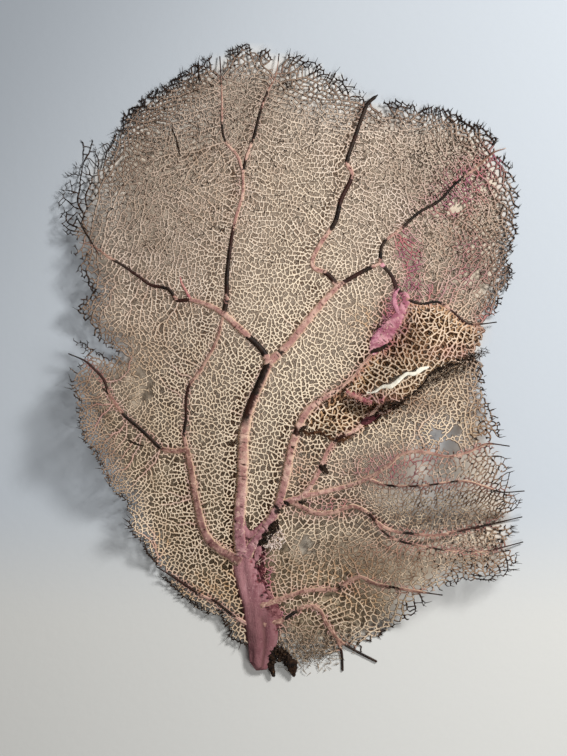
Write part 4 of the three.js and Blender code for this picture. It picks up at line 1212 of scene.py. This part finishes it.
def crown_slivers(tree, material):
    """Short dark broken ends that stand up all over the upper netting."""
    rng = np.random.default_rng(62)
    p = rng.uniform((70, 50), (515, 400), (9000, 2))
    p = p[membership(p, lobe_borders()) >= 0]
    x, y = p.T
    dense = smooth(330, 120, y) * (0.45 + 0.5 * noise_at(p, 40, 71)) + (x > 410) * (0.15 + 0.5 * (y < 300))
    p = p[rng.uniform(0, 1, len(p)) < dense * 0.42]
    lean = rng.normal(0, 1, (len(p), 3)) * [1.0, 1.0, 0.35]
    lean[:, :2] += unit(p - FOOT) * [0.8, -0.8]
    lean[:, 2] = np.abs(lean[:, 2]) + 0.25
    reach = rng.gamma(3, 0.75, len(p)) / 1000 + 0.0008
    scattered("crown_slivers", tree, in_space(p, sheet_rise, 0.3), unit(lean), reach, material,
              size=0.00034)


def points_along(row, count, rng):
    """Random places on a row of points joined by lines."""
    row = np.array(row, float)
    place = rng.uniform(0, len(row) - 1, count)
    return np.stack([np.interp(place, range(len(row)), row[:, k]) for k in (0, 1)], 1)


# Patches of crumbs: outline, how many, their size and height over the sheet in millimetres.
CRUMB_PATCHES = {
    "blade_comb": ([(392, 315), (388, 321), (380, 329), (372, 339), (369, 336), (377, 325), (388, 313)], 44,
        0.55, 1.6),
    "torn_fork": ([(257, 546), (260, 537), (266, 531), (271, 523), (278, 519), (279, 528), (272, 535),
        (266, 543)], 190, 0.95, 3.2),
    "pit_1": ([(299, 426), (303, 425), (307, 428), (304, 432), (299, 431)], 16, 0.7, 2.0),
    "pit_2": ([(290, 445), (294, 444), (296, 449), (291, 450)], 9, 0.6, 2.0),
    "pit_3": ([(287, 459), (291, 458), (293, 463), (288, 464)], 9, 0.6, 2.0),
    "pit_4": ([(281, 501), (286, 500), (289, 504), (284, 508), (280, 506)], 18, 0.7, 2.2),
    "pit_5": ([(275, 509), (280, 509), (280, 514), (275, 514)], 9, 0.6, 2.4),
    "pit_6": ([(299, 501), (305, 500), (305, 505), (300, 505)], 12, 0.6, 1.6),
    "pit_7": ([(319, 466), (326, 463), (329, 469), (324, 473), (320, 471)], 20, 0.7, 1.8),
    "fold_root": ([(312, 402), (322, 394), (334, 388), (346, 384), (354, 386), (345, 393), (333, 399),
        (322, 405)], 80, 0.55, 2.2),
    "holdfast": ([(268, 650), (276, 646), (286, 650), (292, 660), (290, 668), (280, 662), (272, 664)], 90,
        1.1, 8.0),
    # The patch under the lip is dark crumbs standing for painted shade under the fold.
    "shade_under_lip": ([(366, 424), (372, 416), (384, 408), (398, 404), (412, 398), (400, 410), (386, 416),
        (376, 426)], 90, 0.7, 3.0),
}
# The stem's torn right edge.
STEM_EDGE = [
    (258, 548), (261, 556), (262, 566), (264, 578), (267, 590), (272, 600), (277, 608), (279, 618),
    (276, 630), (270, 642),
]


def crumbs(tree, materials):
    for seed, (name, (outline, count, size, height)) in enumerate(CRUMB_PATCHES.items()):
        rng = np.random.default_rng(80 + seed)
        box = np.array(outline, float)
        p = rng.uniform(box.min(0), box.max(0), (count * 3, 2))
        p = p[inside(p, outline)][:count]
        rise = {"shade_under_lip": tucked_rise, "holdfast": level(0.0)}.get(name, sheet_rise)
        places = in_space(p, rise, height + rng.uniform(-0.9, 0.5, len(p)))
        reach = size / 1000 * rng.uniform(0.5, 1.2, len(p))
        scattered("crumbs_" + name, tree, places, rng.normal(0, 1, (len(p), 3)), reach, materials["horn"],
                  crook=0.0006)
    rng = np.random.default_rng(99)
    p = points_along(STEM_EDGE, 420, rng)
    p[:, 0] += rng.normal(-1.5, 2.4, len(p))
    edge_x, edge_y = np.transpose(STEM_EDGE)
    past_edge = np.maximum(0, p[:, 0] - np.interp(p[:, 1], edge_y, edge_x))
    height = rng.uniform(-2.5, 2.2, len(p)) - 0.5 * past_edge
    places = in_space(p, trunk_rise, height)
    places[:, 2] = np.maximum(places[:, 2], 0.001)
    scattered("crumbs_stem_edge", tree, places, rng.normal(0, 1, (len(p), 3)),
              rng.uniform(0.00035, 0.001, len(p)), materials["wine"], crook=0.0006)


def torn_threads(tree, material):
    """Bleached threads beside the torn fork."""
    rng = np.random.default_rng(63)
    p = rng.uniform((264, 530), (283, 548), (120, 2))
    start = in_space(p, sheet_rise, 1.6)
    lean = rng.normal(0, 1, (len(p), 3)) * [1, 1, 0.4]
    reach = rng.uniform(0.0015, 0.0042, len(p))
    scattered("torn_threads", tree, start, lean, reach, material, size=0.0005)


def fuzz(name, tree, row, count, spread, reaches, rise, material):
    """Short threads on both sides of a line."""
    rng = np.random.default_rng(64)
    p = points_along(row, count, rng)
    p = p + rng.normal(0, spread, p.shape)
    lean = rng.normal(0, 1, (len(p), 3)) * [1.4, 0.8, 0.3]
    scattered(name, tree, in_space(p, rise, 0.6), lean, rng.uniform(*reaches, len(p)), material,
              size=0.0003)


# Small pieces laid on the sheet: points, half-widths in millimetres, flatness, height, lie and material.
LAID = {
    "fold_lip": ([(346, 391), (354, 396), (363, 400), (371, 403)], [0.9, 2.0, 1.7, 0.6], 0.6, 0.2, fold_rise,
        "pink"),
    "fold_hem": ([(384, 404), (395, 402), (405, 397), (414, 391), (422, 384), (428, 375), (438, 368),
        (450, 364)], [0.4, 0.8, 0.5, 0.9, 0.5, 0.8, 0.6, 0.4], 0.9, -0.2, fold_rise, "horn"),
    "bleached_lip": ([(427, 367), (421, 369), (413, 374), (406, 374), (398, 380), (391, 386), (382, 387),
        (374, 392), (366, 393)], [0.8, 1.9, 1.6, 1.2, 1.8, 2.0, 1.4, 1.0, 0.6], 0.35, 0.4, fold_rise,
        "bleached"),
    "pocket_crease": ([(300, 431), (310, 433), (320, 432), (330, 438), (341, 440), (352, 433), (365, 423),
        (378, 418)], [0.4, 0.9, 1.1, 0.8, 1.0, 0.9, 1.0, 0.6], 0.6, 0.4, tucked_rise, "rust"),
    "pocket_stain": ([(361, 424), (367, 421), (373, 419), (379, 416)], [1.6, 3.0, 2.6, 1.2], 0.5, 1.4,
        tucked_rise, "wine"),
    "blade_loop": ([(399, 289), (395, 294), (394, 301), (396, 308), (400, 314)], [0.9, 1.5, 1.8, 2.0, 2.0],
        0.5, 0.6, sheet_rise, "magenta"),
    "blade_flare": ([(385, 324), (380, 332), (375, 340), (371, 348)], [1.2, 3.2, 3.8, 1.6], 0.4, 0.2,
        sheet_rise, "magenta"),
    "stem_flare": ([(261, 584), (268, 597), (273, 609), (275, 621), (270, 636)], [1.0, 3.8, 6.0, 5.6, 2.0],
        0.3, -0.3, sheet_rise, "flare"),
    "fork_arch": ([(240, 519), (243, 528), (248, 534), (254, 534), (259, 529), (265, 521)], [1.4, 2.6, 3.2,
        3.2, 2.6, 1.4], 0.6, 0.6, sheet_rise, "stem"),
    "stem_strip": ([(264, 545), (262, 556), (261, 568), (262, 580), (264, 592), (268, 603)], [1.4, 2.2, 2.7,
        2.7, 2.4, 1.0], 0.5, -0.4, sheet_rise, "wine"),
    "blade_stub": ([(371, 352), (378, 350), (386, 346), (396, 342)], [1.5, 1.8, 1.6, 1.1], 0.8, 1.2,
        sheet_rise, "horn"),
    "shoulder_spur": ([(190, 299), (186, 291), (182, 284), (180, 277)], [1.3, 1.0, 0.9, 0.7], 0.9, 0.4,
        sheet_rise, "pink"),
    "crown_twig": ([(198, 60), (198.5, 70), (199, 82)], [0.5, 0.7, 0.4], 0.9, 1.0, sheet_rise, "horn"),
    "lace_twig": ([(76, 216), (84, 230), (92, 243), (99, 255)], [0.4, 0.6, 0.6, 0.4], 0.9, 0.6, sheet_rise,
        "horn"),
    "crown_edge_twig": ([(172, 128), (177, 142), (180, 156)], [0.4, 0.6, 0.4], 0.9, 1.0, sheet_rise, "horn"),
    "left_sliver": ([(128, 440), (136, 444), (144, 446)], [0.6, 0.7, 0.5], 0.9, 1.0, sheet_rise, "horn"),
    "outer_sliver": ([(102, 388), (107, 393), (111, 398)], [0.6, 0.7, 0.5], 0.9, 1.0, sheet_rise, "horn"),
    "fork_web": ([(252, 536), (256, 542), (258, 550), (256, 560)], [1.0, 2.6, 3.4, 2.0], 0.6, 1.0, sheet_rise,
        "stem"),
}
# Broken black knots on the branches: middle, and half of their length each way.
KNOTS = [
    ((303, 429), (3, -2.5)), ((292, 447), (1.5, 3)), ((290, 461), (1.5, 2.5)), ((286, 503), (3.5, 2)),
    ((277, 511), (2, 2.5)), ((303, 502), (3, -1)), ((324, 469), (3.5, 4)), ((265, 534), (3, -4)),
    ((272, 528), (3.5, -3)), ((262, 541), (2, 3)),
]
for number, ((x, y), (dx, dy)) in enumerate(KNOTS, 1):
    thick = 0.42 * math.hypot(dx, dy)
    LAID[f"knot_{number}"] = ([(x - dx, y - dy), (x + 0.2 * dy, y - 0.2 * dx), (x + dx, y + dy)],
                              [0.4 * thick, thick, 0.5 * thick], 0.8, 1.9, sheet_rise, "horn")


def laid_pieces(materials):
    for seed, (name, (points, widths, flatness, height, rise, finish)) in enumerate(LAID.items()):
        plan, half, _ = spline(points, widths, 0.8)
        u, v = rings_of(np.arange(len(plan)) * 0.8 * MM_PER_PIXEL, 14)
        ragged = 0.3 if finish in ("bleached", "rust", "horn") else 0.2
        across = half[:, None] * (1 + ragged * rough(u, v, 500 + seed, 0.45))
        piece = tube_on(name, plan, rise, height, across, flatness, bare=0.0, side=0.0, mauve=1.0,
                        hue=rough(u, v, 520 + seed, 0.3))
        finished(piece, materials[finish])


# Fuzz along a line: its points, how many threads, their spread, least and greatest reach, lie and material.
FUZZ = {
    "crease_fuzz": (LAID["pocket_crease"][0], 480, 1.6, (0.001, 0.003), tucked_rise, "rust"),
    "fold_tip_fuzz": ([(436, 369), (448, 365), (460, 361), (472, 357), (485, 352)], 330, 2.0, (0.001, 0.0036),
        fold_rise, "horn"),
    "hem_fuzz": (LAID["fold_hem"][0], 160, 1.4, (0.001, 0.0026), fold_rise, "horn"),
    "blade_fuzz": ([(394, 292), (392, 306), (389, 318), (380, 331), (373, 342)], 220, 2.6, (0.001, 0.0028),
        sheet_rise, "magenta"),
    "foot_threads": ([(284, 646), (294, 655), (306, 658), (318, 652), (330, 646), (344, 640)], 420, 9.0,
        (0.0015, 0.0055), sheet_rise, "fibre"),
    "stem_fuzz": (LAID["stem_strip"][0] + [(276, 616), (276, 630)], 420, 2.2, (0.0008, 0.0026), sheet_rise,
        "wine"),
    "lip_fuzz": (LAID["fold_lip"][0], 130, 1.6, (0.0008, 0.0022), fold_rise, "pink"),
    "lip_shade": ([(390, 408), (402, 402), (416, 393), (430, 382), (445, 374), (462, 368), (478, 360)], 190,
        1.8, (0.001, 0.0026), lining_rise, "horn"),
}


# Materials.
class Nodes(Graph):
    """The nodes of one material."""

    def __init__(self, name):
        self.material = bpy.data.materials.new(name)
        self.material.use_nodes = True
        self.tree = self.material.node_tree
        self.tree.nodes.clear()
        self.place = self.node("ShaderNodeTexCoord", {}, {}, "Object")

    def painted(self, name):
        return self.node("ShaderNodeAttribute", {"attribute_name": name}, {}, "Fac")

    def noise(self, scale, detail=3.0, roughness=0.55, stretch=None):
        place = self.place if stretch is None else self.node(
            "ShaderNodeMapping", {}, {"Vector": self.place, "Scale": stretch})
        return self.node("ShaderNodeTexNoise", {}, {
            "Vector": place, "Scale": scale, "Detail": detail, "Roughness": roughness}, "Fac")

    def steps(self, value, low, high):
        return self.node("ShaderNodeMapRange", {"interpolation_type": "SMOOTHSTEP"}, {
            "Value": value, "From Min": low, "From Max": high})

    def mix(self, share, first, second):
        """Two colours mixed. Each is a term or sRGB parts of 0 to 255."""
        first, second = (colour(*c) if isinstance(c, tuple) else c for c in (first, second))
        return self.node("ShaderNodeMix", {"data_type": "RGBA"}, {0: share, 6: first, 7: second}, 2)

    def finish(self, colour, roughness, heights):
        """A rough surface with its bumps, each a height and a depth in metres."""
        normal = None
        for height, depth in heights:
            normal = self.node("ShaderNodeBump", {}, {
                "Strength": 1.0, "Distance": depth, "Height": height, "Normal": normal})
        shader = self.node("ShaderNodeBsdfPrincipled", {}, {
            "Base Color": colour, "Roughness": roughness, "Specular IOR Level": 0.2, "Normal": normal})
        self.node("ShaderNodeOutputMaterial", {}, {"Surface": shader})
        return self.material


def colour(red, green, blue):
    """A colour from sRGB parts of 0 to 255."""
    def linear(c):
        c /= 255
        return c / 12.92 if c <= 0.04045 else ((c + 0.055) / 1.055) ** 2.4
    return (linear(red), linear(green), linear(blue), 1.0)


def net_material():
    m = Nodes("netting")
    bare, blush, cream, crown, side, dusk, hollow_shade, amber = (
        m.painted(key) for key in ("bare", "blush", "cream", "crown", "side", "dusk", "hollow_shade", "amber"))
    patches = m.noise(60, 4)
    grain = m.noise(900, 3)
    body = m.mix(m.steps(patches, 0.35, 0.65), (220, 199, 172), (240, 222, 198))
    taupe = m.mix(m.steps(patches, 0.3, 0.7), (218, 198, 182), (247, 231, 216))
    body = m.mix(crown, body, taupe)
    body = m.mix(cream, body, (254, 238, 213))
    body = m.mix(amber * 0.8, body, (202, 156, 104))
    pink = m.mix(m.steps(m.noise(120, 3), 0.35, 0.65), (190, 120, 126), (164, 106, 126))
    # Grey-brown for dust, and for the painted shade where dusk takes in shaded places.
    dust_and_shade_tone = m.mix(m.steps(patches, 0.35, 0.65), (116, 94, 80), (158, 134, 116))
    body = m.mix(blush, m.mix(dusk * 0.85, body, dust_and_shade_tone), pink)
    body = m.mix(m.steps(grain, 0.5, 0.75) * 0.4, body, (128, 92, 66))
    # The strands' sides painted brown, partly their own colour and partly painted shade, darker in the
    # hollows, lighter and warmer in the crown for painted light bounced between strands.
    flank_shade = m.mix(hollow_shade, (112, 76, 46), (122, 78, 46))
    flank_shade = m.mix(crown - crown * hollow_shade, flank_shade, m.mix(dusk, (150, 120, 96), (84, 60, 44)))
    # Painted shade in the hollows darkens the crests too.
    body = m.mix(hollow_shade * 0.25, body, (210, 174, 138))
    body = m.mix(m.steps(side + 0.3 * grain + 0.1 * hollow_shade, 0.55, 0.88) * 0.95, body, flank_shade)
    horn = m.mix(m.steps(m.noise(200, 3), 0.4, 0.7), (30, 20, 16), (70, 50, 38))
    body = m.mix(m.steps(bare, 0.3, 0.6), body, horn)
    return m.finish(body, 0.9 - 0.35 * bare, [(grain, 0.00025), (m.noise(2600, 2), 0.00008)])


def bare_colours(m, body):
    horn = m.mix(m.steps(m.noise(90, 3), 0.4, 0.66), (20, 11, 8), (52, 37, 28))
    horn = m.mix(m.steps(m.noise(24, 2), 0.5, 0.56) * 0.8, horn, (58, 30, 24))
    return m.mix(m.painted("bare"), body, horn)


def vein_material():
    m = Nodes("vein_crust")
    hue, side, mauve = m.painted("hue"), m.painted("side"), m.painted("mauve")
    patches = m.steps(hue * 0.35 + m.noise(160, 4), 0.3, 0.75)
    tan = m.mix(patches, (178, 132, 124), (218, 180, 164))
    purple = m.mix(patches, (146, 98, 106), (190, 146, 148))
    body = m.mix(mauve, tan, purple)
    magenta = m.mix(patches, (164, 98, 116), (219, 161, 171))
    body = m.mix(m.steps(mauve, 1.2, 1.8), body, magenta)
    dusky = m.mix(patches, (108, 74, 64), (158, 118, 104))
    body = m.mix(m.painted("dusk") * 0.9, body, dusky)
    edge = m.steps(side, 0.62, 0.95) * 0.75
    body = m.mix(edge - edge * m.steps(mauve, 1.2, 1.8), body, (232, 204, 172))
    body = m.mix(m.steps(m.noise(480, 3), 0.58, 0.7) * 0.6, body, (236, 208, 182))
    body = m.mix(m.steps(m.noise(620, 3, 0.5), 0.6, 0.68) * 0.75, body, (84, 50, 44))
    body = bare_colours(m, m.mix(m.painted("pits"), body, (70, 42, 36)))
    bumps = [(m.noise(700, 4), 0.0005), (m.noise(2600, 2), 0.0001)]
    return m.finish(body, 0.88 - 0.4 * m.painted("bare"), bumps)


# Plain crusts: two mingled colours, a third in small spots, and the depth of the bumps in metres.
CRUSTS = {
    "horn": ((22, 15, 12), (52, 38, 28), (90, 72, 54), 0.0004),
    "holdfast": ((16, 10, 8), (50, 33, 22), (124, 92, 56), 0.0012),
    "wine": ((46, 18, 22), (96, 48, 54), (160, 104, 108), 0.0004),
    "magenta": ((156, 90, 112), (208, 146, 162), (226, 180, 184), 0.0004),
    "flare": ((108, 62, 66), (158, 108, 110), (66, 26, 32), 0.0008),
    "pink": ((176, 104, 112), (212, 160, 148), (232, 196, 168), 0.0004),
    "rust": ((56, 34, 24), (112, 76, 52), (36, 24, 18), 0.0004),
    "fibre": ((92, 76, 62), (164, 144, 122), (206, 190, 170), 0.0004),
    "bleached": ((255, 252, 240), (250, 244, 226), (214, 206, 190), 0.0002),
    "thread": ((226, 206, 196), (244, 230, 220), (150, 90, 90), 0.0004),
}


def plain_crust(key):
    dark, light, spots, depth = CRUSTS[key]
    name = {"horn": "horn", "holdfast": "holdfast_horn"}.get(key, key + "_crust")
    m = Nodes(name)
    body = m.mix(m.steps(m.noise(260, 4), 0.35, 0.65), dark, light)
    body = m.mix(m.steps(m.noise(640, 3), 0.58, 0.7) * 0.8, body, spots)
    bumps = [(m.noise(800, 4), depth), (m.noise(2600, 2), 0.0001)]
    return m.finish(body, 0.85 + 0.05 * m.noise(90, 2), bumps)


def stem_material():
    m = Nodes("stem_crust")
    patches = m.steps(m.noise(110, 4, 0.6, (1.0, 0.3, 1.0)), 0.3, 0.75)
    body = m.mix(patches, (148, 98, 105), (184, 134, 138))
    streaks = m.noise(170, 5, 0.65, (1.0, 0.2, 1.0))
    # Darker and paler lengthwise streaks: painted shade in the stem's folds and painted highlights on them.
    body = m.mix(m.steps(streaks, 0.52, 0.74) * 0.6, body, (112, 66, 80))
    body = m.mix(m.steps(streaks, 0.48, 0.3) * 0.4, body, (206, 160, 166))
    body = m.mix(m.steps(m.noise(480, 3), 0.6, 0.72) * 0.5, body, (216, 174, 170))
    # Painted shade in the groove.
    body = m.mix(m.painted("groove") * 0.6, body, (112, 84, 78))
    body = m.mix(m.painted("shaded") * 0.5, body, (94, 54, 58))
    pitted = m.mix(m.steps(m.noise(500, 3), 0.4, 0.6), (62, 24, 30), (140, 72, 80))
    body = m.mix(m.painted("pits"), body, pitted)
    body = bare_colours(m, body)
    return m.finish(body, 0.84 - 0.3 * m.painted("bare"), [(streaks, 0.0014), (m.noise(900, 4), 0.0005)])


def floor_material():
    m = Nodes("pale_surface")
    across, height = (m.node("ShaderNodeSeparateXYZ", {}, {"Vector": m.place}, axis) for axis in "XY")
    # Paler towards the bottom, partly painted light that makes up for the lamps' falloff there.
    body = m.mix(m.steps(height, -0.22, -0.1), (219, 220, 218), (199, 207, 216))
    # Painted shade, darker towards the top left.
    body = m.mix(m.steps(height - 1.2 * across, 0.22, 0.6) * 0.6, body, (146, 154, 164))
    # Painted warm shade under the fan, darker towards the bottom.
    low_down = m.steps(height + across * 0.6, -0.05, -0.18)
    warm = m.mix(low_down, (226, 210, 190), (180, 162, 134))
    body = m.mix(m.painted("under"), body, warm)
    # Painted light where the surface shows bright through the netting.
    body = m.mix(m.painted("glint"), body, (255, 252, 246))
    body = m.mix(m.noise(300, 3) * 0.06, body, (170, 172, 176))
    return m.finish(body, 0.6 + 0.1 * m.noise(8, 2), [(m.noise(120, 3), 0.0001)])


# Stage.
def floor_piece():
    """A wide surface, in fine squares in its middle, which hold how far in under the fan they are, for the
    painted shade and painted light there.
    """
    edge, fine_x, fine_y = 4.0, 0.26, 0.32
    xs = np.concatenate([[-edge], np.linspace(-fine_x, fine_x, 66), [edge]])
    ys = np.concatenate([[-edge], np.linspace(-fine_y, fine_y, 81), [edge]])
    grid = np.stack(np.meshgrid(xs, ys), -1).reshape(-1, 2)
    plan = plan_of(grid)
    rim, covered = rim_distance(plan), inside(plan, RIM_LOOP)
    open_air = np.minimum(1, 1.4 * total_of(plan, LACE) + total_of(plan, GREY_GROUND))
    # Painted warm shade under the fan, fading out near the rim and where wide holes show grey ground.
    under = covered * smooth(3, 24, rim) * (1 - open_air)
    # Painted light through the netting near the upper rim.
    glint = covered * smooth(2, 10, rim) * total_of(plan, GLINTS)
    corner = (np.arange(len(ys) - 1)[:, None] * len(xs) + np.arange(len(xs) - 1)).reshape(-1)
    squares = np.stack([corner, corner + 1, corner + 1 + len(xs), corner + len(xs)], 1)
    floor = mesh_from("surface", np.column_stack([grid, np.zeros(len(grid))]), [squares],
                      {"under": under, "glint": np.minimum(1, glint)})
    floor.data.materials.append(floor_material())


def stage():
    floor_piece()
    lamp("key", (0.88, 0.65, 1.05), target=(0, 0, 0), size=0.34, power=22.5, tint=(1.0, 0.985, 0.96))
    lamp("low_side", (0.4, -0.55, 0.9), target=(0, -0.05, 0), size=0.5, power=3.7, tint=(1.0, 0.99, 0.97))
    world = bpy.data.worlds.new("room_light")
    bpy.context.scene.world = world
    world.use_nodes = True
    background = world.node_tree.nodes["Background"]
    background.inputs["Color"].default_value = (1.0, 0.965, 0.93, 1)
    background.inputs["Strength"].default_value = 0.09
    bpy.context.scene.view_settings.view_transform = "Standard"


def lamp(name, place, target, size, power, tint):
    data = bpy.data.lights.new(name, "AREA")
    data.size, data.energy, data.color = size, power, tint
    light = new_object(name, data)
    light.location = place
    light.rotation_mode = "QUATERNION"
    light.rotation_quaternion = (Vector(target) - Vector(place)).to_track_quat("-Z", "Y")


def camera():
    """The eye straight above the middle of the photograph."""
    distance, sheet_height = 2.2, 0.012
    data = bpy.data.cameras.new("above")
    data.lens = data.sensor_width * distance / (PHOTO_HEIGHT * MM_PER_PIXEL / 1000)
    data.clip_end = 20
    eye = new_object("above", data)
    across, down = (np.array([PHOTO_WIDTH, PHOTO_HEIGHT]) / 2 - MIDDLE) * MM_PER_PIXEL / 1000
    eye.location = (across, -down, sheet_height + distance)
    bpy.context.scene.camera = eye


def main():
    materials = {key: plain_crust(key) for key in CRUSTS}
    build_nets(net_material())
    vein, stem = vein_material(), stem_material()
    for seed, name in enumerate(name for name in BRANCHES if name != "trunk"):
        branch_piece(name, 10 * seed + 3, vein)
    trunk_piece(stem)
    holdfast_piece(materials["holdfast"])
    laid_pieces(materials | {"stem": stem})
    bristles, lumps = bristle_tree(), crumb_tree()
    rim_bristles(bristles, materials["horn"])
    crown_slivers(bristles, materials["horn"])
    torn_threads(bristles, materials["thread"])
    for name, (row, count, spread, reaches, rise, finish) in FUZZ.items():
        fuzz(name, bristles, row, count, spread, reaches, rise, materials[finish])
    crumbs(lumps, materials)
    stage()
    camera()


main()
